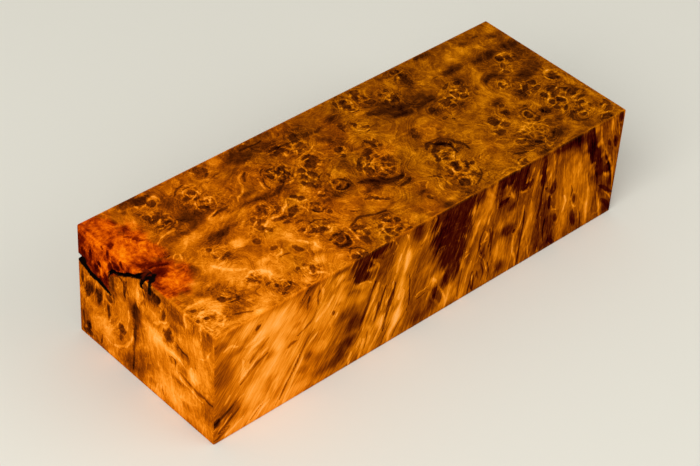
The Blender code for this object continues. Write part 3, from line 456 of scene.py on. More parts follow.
# Knots that strands sweep round on the top: rise, along, across, half length, half width, turn
TOP_KNOTS = [
    (3, 46.8, 14.4, 4.4, 4.2), (3.6, 67, 26.6, 4.6, 6.6, 12), (-2.6, 83, 31.8, 4.6, 4),
    (3.4, 81.8, 40.4, 4.8, 5.4), (3.4, 122.2, 34.6, 5.6, 4, -20), (-2.8, 122.4, 40.8, 4, 3.4),
    (-2.8, 105, 41.2, 5.4, 4.6), (2.6, 54.6, 45, 4.4, 4), (-2, 103, 17.8, 3, 3), (3, 27.4, 12.4, 3.2, 3.4),
    (-2.4, 26.4, 7, 3.4, 2.6), (2.2, 88, 8.4, 2.8, 3.4), (-2.2, 14.8, 9.4, 3.2, 4.4),
    (2, 41, 34.4, 4.4, 2.6, 15), (2.4, 53.2, 8, 3, 2.8), (-2, 58.4, 7.8, 2.4, 3.2),
    (2.2, 36.4, 22.2, 3, 2.8, -30), (2.2, 55.6, 26.2, 2.8, 2.9), (-2.4, 42.4, 40.8, 2.8, 2.9),
    (2.2, 109.9, 34.9, 2.7, 2.9), (2.6, 2.4, 42.8, 4, 4), (-2.4, 10.8, 39.6, 3, 3.2),
    (2, 22.6, 45.2, 3.4, 2.4), (-2, 31, 44.4, 2.6, 2.8), (2, 64.2, 16.4, 2.4, 2.4),
    (-2, 56.4, 15.8, 3, 2.4), (2.2, 97.6, 19.4, 3, 2.6), (2, 122.4, 14.4, 3.4, 2.8),
    (-2.2, 114.6, 22.4, 3, 2.4), (2, 101.4, 32.4, 2.6, 2.8), (-2, 117, 27, 3, 2.6),
    (2, 77.2, 4.2, 2.6, 3.2), (-2, 82.4, 4.4, 2.2, 3.2), (2, 74.6, 12.6, 2.4, 2.2),
    (-2, 72.4, 19.2, 2, 2.8), (2, 18.4, 27.8, 2.8, 3), (-2.2, 19, 38.8, 3.2, 2.4),
    (2, 45.6, 28.8, 2.6, 2.2), (-2, 48.4, 41, 2.4, 3.2), (2, 42.2, 47, 2.6, 2.4),
    (2.2, 125.2, 47.2, 2.6, 1.8), (2, 95.4, 47.2, 2.4, 1.8), (-2, 33, 3, 2.2, 2.8),
    (1.6, 105.4, 45.9, 1.6, 1.4), (-2, 96.2, 3, 2.6, 3), (2, 31.4, 25.6, 2.2, 3.2),
    (-1.8, 41, 26.8, 2.2, 1.8), (2, 50.6, 20.2, 2.6, 3.4), (-1.8, 120.2, 26.6, 2.4, 2.2),
    (2, 126.8, 27.2, 1.8, 2.6), (1.8, 17.2, 3.8, 2.6, 2.6),
]

# Blots on the near long side: along, below, half length, half height, turn
SIDE_EYES = [
    (43.6, 2.6, 2.5, 3.4, 12), (43.8, 6.2, 2.4, 1.4, 5), (48.6, 0.8, 3, 1.5), (72.8, 2.6, 5.6, 4),
    (73.2, 8.4, 5.2, 4.4), (73.6, 14.6, 3.6, 4.4, 12), (73.6, 20.2, 2, 3.6, 8),
    (68.9, 25.6, 0.9, 2.6, -22), (53.5, 19.8, 0.55, 3.6, 10), (90.4, 1.4, 3.4, 1.9, 8),
    (94.8, 3.6, 1.8, 3.6, 10), (89.8, 7.6, 1.2, 0.5, -10), (96.4, 6.9, 1.4, 0.8, -20),
    (99, 7, 0.45, 1.2, 20), (103, 4, 0.8, 2.4), (103.3, 7.8, 0.8, 2), (104.7, 11.3, 0.5, 0.4),
    (107.2, 12.2, 0.7, 2), (106.4, 16.6, 0.4, 2), (109.1, 22.8, 0.7, 1.4, -20),
    (108.6, 30.2, 0.5, 1.6, -45), (118.6, 2.2, 1.2, 2.2), (119.8, 5.6, 1.4, 3.4, -14),
    (121.4, 9.6, 1.5, 2.6, -25), (123.6, 14.2, 1.5, 2.8, -28), (115.4, 20.4, 0.45, 1.5, -5),
    (115.8, 26.4, 0.7, 2.6, -15), (126, 7.8, 0.5, 1.2, -20), (128.5, 8.8, 0.5, 1.9, -15),
    (129.3, 0.8, 0.8, 1.8, -20), (126.6, 16.2, 1, 1.4, -30), (35.3, 12.5, 0.4, 0.7), (0.6, 26.2, 1.2, 1.2),
    (12.6, 3.4, 0.9, 0.5, -30), (94.3, 19.6, 0.5, 0.5),
]
# Thin dark strands on the near long side
SIDE_DARK_STRANDS = [
    (0.5, (83.8, 13.4), (82.8, 15.8), (82.6, 18.4), (83.4, 21)),
    (0.4, (85.4, 14), (86, 17), (85.2, 20)),
    (0.35, (80.8, 25), (81.6, 28), (81, 31)),
    (0.4, (83.6, 24), (84.6, 27), (84, 30.5)),
    (0.3, (82.6, 25.6), (82.9, 28.4)),
    (0.3, (86, 24.6), (86.6, 28), (86.2, 31)),
    (0.6, (16, 8.5), (14, 9.9), (12, 11), (10.2, 12.9)),
    (0.7, (15.4, 13), (12.5, 14), (10, 16.4), (7.4, 18.4)),
    (0.6, (21.6, 15.4), (22.8, 14.5), (24.2, 14.3)),
    (0.55, (24.5, 12.9), (27, 12), (29, 10.8), (30.2, 8.4)),
    (0.6, (29.6, 14.2), (27.6, 16), (26.2, 18.8), (24.2, 22), (22.4, 25), (21.2, 27.6), (20, 30.6)),
    (0.7, (0, 26.4), (3.5, 24.6), (7, 22.6)),
    (0.6, (1.2, 30), (4.6, 27.6), (7.6, 25.4)),
    (0.5, (0, 31.6), (2.6, 31), (5, 29.4)),
    (0.4, (10.6, 31.6), (13, 29.4), (14.8, 28.4)),
    (0.3, (24.8, 3.6), (26.4, 1.6), (28, 0)),
    (0.5, (27.8, 2.6), (27.4, 4.6), (27, 6.6)),
    (0.6, (48.6, 9.6), (47.6, 12.6), (46.6, 15), (45.5, 17.6), (44.6, 20.4), (44, 23)),
    (0.45, (49.7, 17), (49.4, 20), (48.7, 22.8)),
    (0.45, (51.8, 13), (50.8, 16), (50.3, 19.4)),
    (0.45, (52.9, 22.6), (52.2, 25.4), (51.4, 27.8)),
    (0.4, (54.8, 13.6), (54.5, 16.6), (54.6, 19.6)),
    (0.3, (59.4, 13.6), (59.5, 18), (59.6, 22.4), (59, 25.4)),
    (0.35, (46.7, 24.6), (46.3, 28), (45.6, 31)),
    (0.4, (54.2, 26), (52.4, 29), (50.8, 32)),
    (0.4, (57.8, 26.6), (56.4, 29), (55, 32)),
    (0.35, (77.3, 21.8), (76.8, 26), (76.3, 31)),
    (0.4, (80.7, 25.4), (80.2, 29), (79.6, 32)),
    (0.3, (82, 26), (81.6, 29), (81.8, 31.6)),
    (0.35, (84.6, 21.6), (83.8, 23.6)),
    (0.35, (97.7, -0.4), (97, 2), (96.4, 3.8)),
    (0.35, (98, 3.6), (97.7, 5.8), (96.9, 7.1), (95.8, 7.4)),
    (0.45, (97.5, 14.6), (97.5, 19), (97.2, 23), (96.8, 27), (96.3, 32)),
    (0.4, (103.3, 9.6), (103, 12.6), (102.7, 16), (102.4, 20)),
    (0.3, (118.2, 25.6), (119, 29), (119.2, 31.6)),
    (0.45, (124.8, 10), (126.2, 13.6), (127.8, 18.4), (129, 23)),
    (0.6, (124, 20.4), (126.2, 22.2), (128.4, 24.2), (130, 26)),
    (0.7, (125.8, 25.6), (128, 28.4), (129.6, 31.4)),
    (0.3, (113.8, 15.4), (114.6, 17.6), (114.4, 19.4)),
    (0.3, (105.4, 21), (105, 25), (105.4, 29)),
    (0.35, (94.2, 8), (94.4, 11)),
    (0.3, (30.4, 8), (30.2, 5), (31, 2.6)),
    (0.35, (66.8, 5), (67.4, 2.4), (67, -0.4)),
    (0.3, (86.4, 12), (86.8, 15.6), (86.4, 20), (87, 24)),
    (0.25, (62.4, 23.6), (64.4, 22.9), (66, 22.8)),
]
# Thin pale strands on the near long side
SIDE_PALE_STRANDS = [
    (0.5, (15.6, 11), (12.6, 12.6), (10, 14.8), (7, 17.2)),
    (0.6, (7.6, 10.4), (8.5, 13.4), (7.6, 16.6)),
    (0.7, (14.8, 7.4), (10.6, 9), (8, 10.6)),
    (0.6, (13.6, 5.2), (10.8, 6.6), (8.6, 7.4)),
    (0.6, (31.2, 15.2), (28.4, 17.6), (26.4, 20.6), (24.2, 24.6), (22.6, 28), (20.6, 32.4)),
    (0.45, (25.4, 19), (22, 25), (19.8, 28.6), (18, 32.4)),
    (0.5, (16.6, 28.2), (14, 30.4), (12.4, 32.4)),
    (0.45, (14.6, 27.8), (12, 29.6), (9.6, 32.2)),
    (0.4, (8.8, 28.8), (5.8, 30.4), (3, 31.8)),
    (0.5, (1, 29), (3, 27.6), (5.2, 25.8)),
    (0.4, (5.6, 23.6), (8.8, 22)),
    (0.45, (2.8, 21.8), (4.6, 19.4)),
    (0.5, (2, 5.2), (4.4, 4.8), (6.4, 5.8)),
    (0.7, (35.2, 6.6), (32.6, 9.8), (29.8, 12)),
    (0.45, (31.2, 1), (31.6, 4), (31, 7.4)),
    (0.4, (36.6, 12.4), (35.9, 14.4)),
    (0.3, (42.6, -0.4), (41.6, 2.2), (40.2, 4.9)),
    (0.3, (46.2, -0.4), (45.9, 2.6), (45.3, 5)),
    (0.35, (43, 8.2), (45.8, 8.1), (46.8, 9.4)),
    (0.55, (47.4, 3.6), (48.8, 5.6), (48, 8.6), (46.8, 12)),
    (0.7, (49.5, 11.2), (48.6, 14.4), (47, 17), (46, 19.8), (45.4, 23.6)),
    (0.5, (49, 17.4), (48.4, 20), (48, 22)),
    (0.5, (51.7, 14.8), (51.2, 17.6), (50.8, 20.4)),
    (0.35, (52.6, 16), (52.4, 20)),
    (0.35, (54.2, 12.6), (54, 16)),
    (0.45, (53.2, 20.6), (52.6, 23.4)),
    (0.8, (51.6, 22.4), (50.6, 27), (48.4, 29.6), (47, 32.4)),
    (0.6, (45.6, 26.6), (44.8, 29.4), (44, 32.4)),
    (0.5, (44.6, 25.6), (43.2, 28)),
    (0.6, (41.6, 28.2), (41, 30.4), (41.2, 32.4)),
    (0.8, (57.4, 1.2), (58.6, 4), (58.4, 8), (57.9, 12), (57, 16), (56.3, 19.6)),
    (0.6, (56, 5.6), (55.4, 8), (55.2, 10.6)),
    (0.8, (57.8, 18), (57, 22.6), (55.8, 27), (53.9, 30), (53.6, 32.4)),
    (0.35, (53, 4.6), (54.4, 2.6), (53, 0)),
    (0.45, (64.6, 2.6), (63.8, 4.8), (62.4, 6.8)),
    (0.35, (61.8, 22.6), (64, 21.6), (66, 21.4)),
    (0.35, (66.2, 23.8), (65.6, 26.6)),
    (0.45, (68.4, 3), (68, 5.8)),
    (0.3, (69, 9), (72, 8), (75, 8.2), (77.6, 9.2)),
    (0.25, (82.4, 20.6), (84.8, 24), (86, 28)),
    (0.25, (82.6, 17.2), (85, 17.6)),
    (0.3, (68, 11.8), (69.6, 11.4), (71.2, 11.8)),
    (0.35, (71.6, 1.4), (72.6, 4), (72.2, 6.4)),
    (0.3, (74, 10.6), (75.2, 13.4), (74.6, 17), (74.9, 20.6)),
    (0.25, (76, 10.4), (76.6, 13), (75.9, 15.4)),
    (0.25, (69.4, 6.8), (72, 6), (75.4, 6.4)),
    (0.25, (71, 15), (72.2, 18.6), (71.4, 22)),
    (0.25, (76.2, 19.3), (77.4, 17.9), (79, 17.1)),
    (0.25, (76.6, 16.9), (78, 15.5)),
    (0.3, (77.6, 19.4), (79.8, 18.1)),
    (0.8, (81.6, 9.6), (80.4, 13), (79.6, 16.6)),
    (0.45, (85, 9.4), (84.9, 12.4)),
    (0.35, (84.2, 14), (84.8, 16), (83.2, 17.8)),
    (0.35, (83, 18.2), (82.8, 20.4)),
    (0.8, (80.4, 21.6), (78.8, 25.2), (78, 28.6), (77, 32.4)),
    (0.4, (81.2, 25.6), (80.8, 28.4)),
    (0.4, (79.2, 9.4), (79.4, 6), (79.8, 3)),
    (0.35, (97.5, 4), (96.8, 6)),
    (0.45, (99.5, 2), (98.8, 4.8)),
    (0.5, (94.4, 20.2), (94.4, 24), (95.4, 28), (95.8, 31.6)),
    (0.45, (97, 12), (96.8, 16.6), (95.8, 20)),
    (0.8, (99.8, 12.6), (99.6, 17), (98.8, 21), (98, 26), (97.4, 32.4)),
    (0.6, (101, 3.6), (100.4, 7), (100.2, 11.4)),
    (0.3, (99.9, 24.6), (100.2, 28.6), (101, 32.4)),
    (0.6, (105.7, 1), (106.2, 4), (106, 7), (104.8, 9.4)),
    (0.25, (103.8, 10.4), (103.3, 13), (103.5, 16)),
    (0.25, (105, 12.2), (105.6, 15.6)),
    (0.25, (103.6, 20), (103.8, 22.6), (104.3, 25.2)),
    (0.35, (106.9, 17.8), (107.6, 19.7), (109.2, 20.5)),
    (0.6, (119, 13.6), (120.4, 19.6), (120.6, 25.6), (121.6, 32)),
    (0.6, (122, 0.8), (122.6, 5), (124.2, 8.8), (126.8, 13), (128.3, 18), (129.6, 24)),
    (0.5, (125.9, 0.6), (126.4, 4.6)),
    (0.3, (127.6, 1), (128.8, 4), (129.6, 7.4)),
    (0.3, (126.8, 23.8), (128.6, 25.8), (129.7, 28)),
    (0.5, (123.4, 22), (125.4, 27), (126.4, 32.4)),
    (0.25, (117.4, 24.4), (118, 26.8), (117.8, 29.4)),
    (0.35, (111.6, 17), (112.4, 20), (111.6, 23)),
    (0.35, (103.4, 29.6), (103.8, 31.8)),
    (0.35, (92.2, 6), (92.8, 8.4)),
    (0.4, (87.4, 6), (87.6, 9)),
]
# Clouds on the near long side
SIDE_CLOUDS = [
    (-0.14, 2.2, 12, 3.2, 4.4), (-0.12, 1.6, 3, 2.4, 1.6), (-0.12, 6, 7.2, 3, 1),
    (-0.14, 3, 24.6, 4, 2.6, -30), (0.2, 9.4, 2.6, 2.6, 1.8, -25), (0.22, 17.6, 5, 6, 3, -8),
    (0.12, 11.6, 7.4, 4, 1.4, -25), (0.2, 20, 12, 3.6, 4.4), (0.2, 16.6, 18.4, 4, 2.8),
    (0.22, 11.8, 23, 3.8, 3.8), (0.14, 14, 28, 5, 2.6), (0.14, 19.6, 24, 2.8, 3.4),
    (-0.12, 21.6, 11.6, 1.4, 1.3), (-0.14, 23.6, 10, 1.6, 0.9, -10), (-0.14, 16.4, 14, 1.6, 1.6),
    (-0.12, 26.4, 2.6, 2.6, 2.6), (0.12, 29.6, 3.6, 0.9, 2.6, 10), (0.16, 37.8, 2.2, 1.6, 1.6),
    (0.16, 37.2, 7.8, 1.6, 2.8), (0.12, 32.8, 19.6, 3.6, 2.6, -20), (-0.12, 28, 21.6, 1.6, 1),
    (-0.14, 26.2, 25, 2, 1.2), (-0.18, 40.6, 15, 4, 1.9, -8), (-0.16, 42.4, 19.4, 3.6, 2.6),
    (-0.22, 39.6, 25, 4, 2, -10), (-0.2, 36.6, 28.2, 3.8, 1.7, -10), (-0.18, 37.4, 1, 2.4, 0.8),
    (-0.1, 37, 10.6, 1, 0.6), (0.1, 27, 29.6, 3, 1.6), (-0.1, 31.6, 29.4, 2, 1.4),
    (0.14, 45, 11.6, 1.8, 3, 12), (-0.1, 50.4, 6.4, 3.6, 3.8), (0.1, 48.8, 25.4, 3.6, 3.4, 20),
    (0.18, 50.8, 23.8, 1.6, 2.2), (0.16, 58.4, 9, 1.2, 3.4, 5), (0.18, 56.4, 25.6, 1.6, 3, 10),
    (-0.16, 61.2, 1.6, 1.6, 2.6), (-0.04, 63.4, 13.4, 3.2, 6.4), (0.16, 67.8, 20.4, 1.6, 2.4, 25),
    (-0.14, 62.6, 27.6, 4, 3.6), (-0.16, 66.6, 28, 3, 3), (-0.2, 70.6, 22.6, 2, 2.4),
    (0.14, 70.2, 4.2, 1.4, 1), (0.22, 73.8, 27.8, 2.4, 4.2, 35), (0.12, 71, 30.6, 2, 1.2),
    (0.16, 83.8, 4.4, 2, 4, 15), (0.12, 82, 9.6, 2.4, 3, 15), (-0.1, 86.6, 16, 1.6, 6),
    (-0.12, 83.4, 21.4, 2, 2.4), (0.1, 85, 30, 2, 1.8), (0.14, 92.6, 6.8, 1.2, 1.8),
    (0.12, 89.2, 15.2, 2, 1.4), (0.12, 92.4, 14.6, 1, 0.9), (-0.14, 92, 18.2, 3, 1.8),
    (0.18, 90.2, 23, 2.6, 2.8), (-0.14, 91, 28.8, 2, 2), (0.14, 99.6, 16.6, 1.3, 4),
    (0.12, 98.6, 23, 1.6, 4), (-0.16, 104, 23.6, 2.6, 8), (-0.14, 106, 28, 4, 3.6),
    (0.12, 108.6, 16.6, 1, 2.8), (-0.16, 113, 2.4, 6, 1.6), (0.14, 113.6, 11, 4, 5),
    (0.14, 113, 18.4, 2.2, 4), (0.12, 111.6, 27.4, 2, 4.4), (0.12, 120.6, 26.4, 1.4, 5),
    (-0.18, 123, 17.6, 2.6, 2.6, -30), (-0.16, 126.4, 22.4, 3.4, 3, -30), (-0.18, 128.6, 29.6, 1.8, 2.8),
    (0.12, 126, 3, 1.4, 3.6), (-0.08, 123.6, 27, 1.2, 3.8, -20), (0.1, 15, 14, 18, 16),
    (0.1, 8.4, 13.6, 3, 4.4), (0.12, 16.6, 13, 3.4, 3.6), (0.14, 24, 8.4, 3, 4), (0.12, 12.6, 1, 4, 2),
    (0.08, 5, 5, 3.4, 2.6), (0.08, 23.4, 19, 3.4, 3.4), (0.14, 26.6, 27, 4.4, 4.6, -30),
    (0.16, 34, 12, 5.4, 4.6, -20), (0.12, 42, 13.4, 3, 3.4, 20), (-0.18, 41.6, 6, 1.8, 3.6, 10),
    (-0.14, 48.4, 2.4, 2.6, 2.6), (0.12, 56.4, 7, 2.6, 4.4), (0.14, 56.6, 17.4, 1.6, 4.4, 8),
    (0.14, 54.4, 26.6, 1.8, 3.6, 15), (0.1, 47.4, 16, 2.4, 4.4, 20), (0.12, 45.4, 27.6, 3.6, 3.6, 20),
    (-0.26, 69.2, 14.6, 2.4, 4.4), (-0.1, 72.6, 5, 6.6, 6), (-0.12, 73.6, 13.4, 4.6, 7),
    (0.08, 78.2, 15.6, 1.6, 3.4, 10), (-0.14, 88, 4, 1.6, 4.6, 10), (-0.1, 92.6, 2.8, 2.8, 2.8),
    (0.1, 94.4, 18.6, 2, 2.4), (0.1, 64.6, 27.2, 3, 2.6), (0.08, 70.4, 27.4, 1.8, 2.4),
    (-0.06, 92.6, 22.4, 2.6, 3), (-0.08, 97.4, 24, 2.2, 3.6), (-0.1, 102.4, 8.6, 1.4, 8),
    (-0.08, 106.8, 17, 1.4, 3.4), (0.14, 105.2, 27.4, 2.8, 4), (0.12, 110.6, 21.4, 1.6, 4.6),
    (0.1, 115, 14, 3.6, 4.6), (0.08, 119.4, 20.4, 2.6, 6, -10), (-0.12, 103.6, 1.2, 1.8, 1.6),
    (-0.16, 129, 4, 1.6, 5), (0.12, 91, 28.2, 2.2, 2.6), (0.06, 87, 24, 1.6, 5), (0.1, 41, 26, 2.6, 2),
    (0.06, 125.6, 15, 1.6, 2.6, -20), (-0.06, 117.4, 8, 2.6, 2), (-0.16, 81.6, 5.4, 2.2, 3.4),
    (-0.14, 78.6, 1, 2.4, 2.6), (-0.12, 78.8, 12.4, 1.6, 2), (-0.1, 48, 6, 5, 8), (-0.06, 64.4, 5, 4, 4),
    (-0.09, 93, 4.6, 5.6, 6), (-0.1, 89, 9, 1.6, 3), (-0.08, 104.6, 15, 4.4, 4), (-0.08, 108, 26, 1.4, 6),
    (-0.12, 117, 5.4, 1.6, 2.2), (-0.1, 121, 10, 3.4, 3.4, 20), (-0.09, 124.6, 13, 2.4, 3),
    (-0.1, 86.8, 23, 1.4, 3), (-0.06, 95, 29.6, 2.4, 2.4), (-0.06, 67.4, 20, 1.6, 4), (0.2, 8, 31.6, 8, 3),
    (0.2, 21, 31.6, 6, 3.4), (0.12, 25, 2, 3.4, 3), (0.08, 1.4, 1, 2.4, 1.6), (0.1, 31, 21, 2.4, 2),
    (0.08, 56, 20, 5, 11), (0.12, 57.6, 26.6, 3, 3.4), (0.1, 54.4, 31, 3, 2.6),
    (0.16, 77.4, 30.4, 1.8, 3.6), (0.09, 113.6, 24, 2, 4.6), (0.07, 117.6, 25.4, 1.6, 4.6),
    (0.09, 110, 15.6, 1.2, 4), (0.06, 127.8, 6, 1.4, 3), (0.08, 122.4, 19, 2, 2.4),
    (-0.2, 109, 0.8, 3.6, 1.6), (-0.12, 113.8, 1.2, 4, 2), (-0.12, 90, 7.9, 2.4, 1, -10),
    (-0.12, 93, 11.4, 2, 1.2, 20), (-0.14, 92.6, 18, 2.6, 1.6), (-0.14, 90.4, 28.4, 1.4, 2),
    (-0.12, 107.8, 22.8, 2.6, 2), (-0.08, 106.6, 29.8, 5, 1.8), (-0.08, 116.2, 27, 1.6, 3.6),
    (-0.06, 83.6, 17.6, 2, 3), (-0.14, 83.6, 1.4, 2.6, 3), (-0.1, 84.4, 6, 3.4, 2.4),
    (-0.08, 80.6, 13.6, 3, 2.6), (-0.08, 40.4, 6, 2.4, 2.4), (-0.12, 27, 0.4, 3, 1.6),
    (0.06, 81.8, 28, 2, 2.6), (0.1, 47.4, 31, 2.4, 1.8), (0.08, 51.2, 6, 1.6, 4), (-0.16, 0.8, 31, 2, 2.4),
    (-0.08, 61.6, 5.4, 2, 2), (-0.06, 105.4, 5.4, 4, 3), (-0.06, 122, 5.4, 2, 2.6),
    (-0.06, 121, 24, 1.2, 4), (0.08, 86.4, 16.6, 1.4, 2.6), (-0.05, 98.4, 14.4, 2, 4),
    (0.08, 59.6, 2.8, 1.2, 2), (-0.08, 11.6, 3, 1.6, 1.6), (-0.08, 24.4, 3.6, 1.4, 2),
    (-0.06, 39, 7.4, 2, 1.6), (-0.08, 64, 7, 2.6, 1.4, -20), (-0.1, 81.8, 15.8, 1.8, 2.4),
    (-0.08, 67, 14, 1.6, 1.4), (-0.08, 78.6, 12.6, 1.4, 1.6), (-0.1, 108.6, 17.8, 1.4, 2),
    (-0.1, 41.8, 25.8, 1.8, 1.8), (-0.08, 47, 26.2, 2.2, 1.6), (-0.06, 116.6, 4, 1.4, 1.6),
    (-0.06, 46.5, 15.6, 1.4, 2.6), (-0.05, 54, 15.6, 2.4, 2.4), (-0.05, 57, 26, 1.8, 2.4),
    (-0.06, 71.6, 26, 1.4, 2), (-0.05, 120.6, 22, 1.2, 2.4), (-0.06, 65, 0.2, 90, 0.8),
    (0.1, 11, 10.5, 2.2, 1.2), (0.1, 69.2, 11, 1.8, 1.3), (0.08, 68.4, 3.8, 1.6, 1.4),
    (0.12, 112.2, 2.6, 2.4, 1.8), (0.1, 114, 6.6, 2, 1.6), (0.06, 84.6, 10.8, 1.4, 1.6),
    (0.08, 87, 1.6, 1.4, 1.8), (0.1, 64.6, 27, 1.6, 1.8), (0.06, 45.6, 22, 1.6, 1.4),
    (0.1, 31.6, 31.2, 1.8, 1.4), (0.06, 43, 14.6, 1.2, 2), (0.05, 18.6, 16.6, 2.4, 1.8),
    (0.06, 69.4, 17, 1.4, 1.6), (0.06, 128.6, 6, 1.4, 1.8), (0.06, 117.8, 15.6, 1.4, 1.8),
    (0.05, 2.4, 26.6, 1.8, 1.8), (0.05, 83.4, 22, 1.6, 1.6), (0.06, 104.6, 28, 2.4, 2),
]

# Blots on the fissured end: across, below, half width, half height, turn
END_EYES = [
    (25.4, 2.7, 2.4, 1.6, 15), (27.9, 2.4, 1, 0.9), (3.1, 16.8, 1, 2.4, 20), (7, 16.4, 0.8, 2.6, 6),
    (10.1, 18.8, 0.5, 2.4), (0.8, 14.6, 0.5, 2), (10.4, 14.6, 0.8, 0.7), (30.5, 5.4, 0.6, 1.4, 20),
    (32, 10.4, 1.7, 1.4, -15), (2.6, 28.6, 0.8, 1), (6.2, 8.7, 0.8, 0.8), (16.3, 7.4, 0.4, 2),
    (11.3, 5.4, 0.6, 1.4), (4.2, 6.4, 0.5, 1.6), (13.4, 3, 1.2, 0.7), (10.4, 2, 0.6, 1.4),
    (9.4, 9.2, 0.8, 0.8), (15, 20.6, 1, 1.2, 20), (7.4, 6.6, 0.5, 0.9), (1.4, 6.6, 0.6, 0.8),
    (8.2, 1.2, 0.5, 0.7), (15.2, 1.2, 0.6, 0.6), (2.4, 30.8, 1.6, 0.7),
]
# Thin dark strands on the fissured end
END_DARK_STRANDS = [
    (0.3, (16.8, 5), (16.4, 7.6), (16.8, 10.4)),
    (0.3, (22.4, 3.4), (23.6, 6.4), (24, 9.4)),
    (1.6, (20.6, 9.6), (20.4, 13), (20.2, 17)),
    (0.6, (20.3, 16), (20, 20), (19.4, 25), (19, 31)),
    (0.7, (15.6, 19.6), (14.8, 22), (14.5, 24.8)),
    (0.3, (7.7, 27.4), (6.9, 31.4)),
    (0.6, (36, 18.8), (39, 20.1), (43, 20.7), (48.4, 20.4)),
    (0.4, (34.6, 10.6), (37, 11.8), (39.6, 12.4)),
    (0.35, (12.6, 6.2), (14.2, 5.6), (16, 6.2), (17, 7.8)),
    (0.35, (17.2, 4.4), (17.2, 6.6), (17.8, 9.2)),
    (0.3, (23, 3.4), (23.4, 5.8), (22.4, 8.6)),
    (0.4, (41.2, 0.6), (41.2, 3.6)),
    (0.35, (29.6, 27.4), (29.9, 30.4)),
    (0.3, (32, 16.8), (34.6, 16.6), (35, 18.6)),
    (0.3, (12, 12.4), (12.2, 15)),
    (0.35, (0.4, 24.8), (1, 28), (0.6, 31)),
]
# Thin pale strands on the fissured end
END_PALE_STRANDS = [
    (0.45, (20.9, 3.6), (21.1, 6.4), (21.6, 9.2)),
    (0.6, (21.2, 2.6), (21, 5.6), (21.2, 9.8)),
    (0.45, (17.7, 13.4), (17.5, 16.8), (16.6, 20)),
    (0.6, (19.6, 18.2), (18.8, 21), (16.8, 24.6), (14, 27.2), (11, 28.2)),
    (0.35, (6, 13), (5.4, 16), (4, 18.6)),
    (0.45, (8.6, 13.2), (8.5, 17), (8.1, 20.4)),
    (0.35, (0.3, 19.4), (2, 17.6), (2.7, 15.2)),
    (0.25, (7.4, 12), (8.6, 13.4)),
    (0.25, (8.4, 11.9), (9.6, 13.4)),
    (0.25, (9.4, 11.9), (10.4, 13.2)),
    (0.3, (3.8, 12.4), (2.4, 14.4)),
    (0.45, (14.3, 7), (14.4, 9.6)),
    (0.5, (26.4, 10.6), (28.8, 9), (31.6, 6.8)),
    (0.45, (31.6, 15), (35, 15), (38, 16.2)),
    (0.6, (40.2, 14.6), (40.4, 17.4), (41.6, 18.8)),
    (0.35, (35, 19.4), (38.6, 21.5), (44.4, 22.2)),
    (0.3, (35.6, 16.8), (35.2, 19.2)),
    (0.5, (38, 0), (38.6, 3.8)),
    (0.4, (43.2, 0), (43.4, 4.4)),
    (0.35, (8.2, 27.4), (11, 28.2)),
    (0.4, (28, 28.4), (27, 31)),
    (0.4, (47, 4.4), (45.8, 7.6), (43.4, 9.4)),
    (0.3, (10.8, 19.8), (10.6, 23)),
]
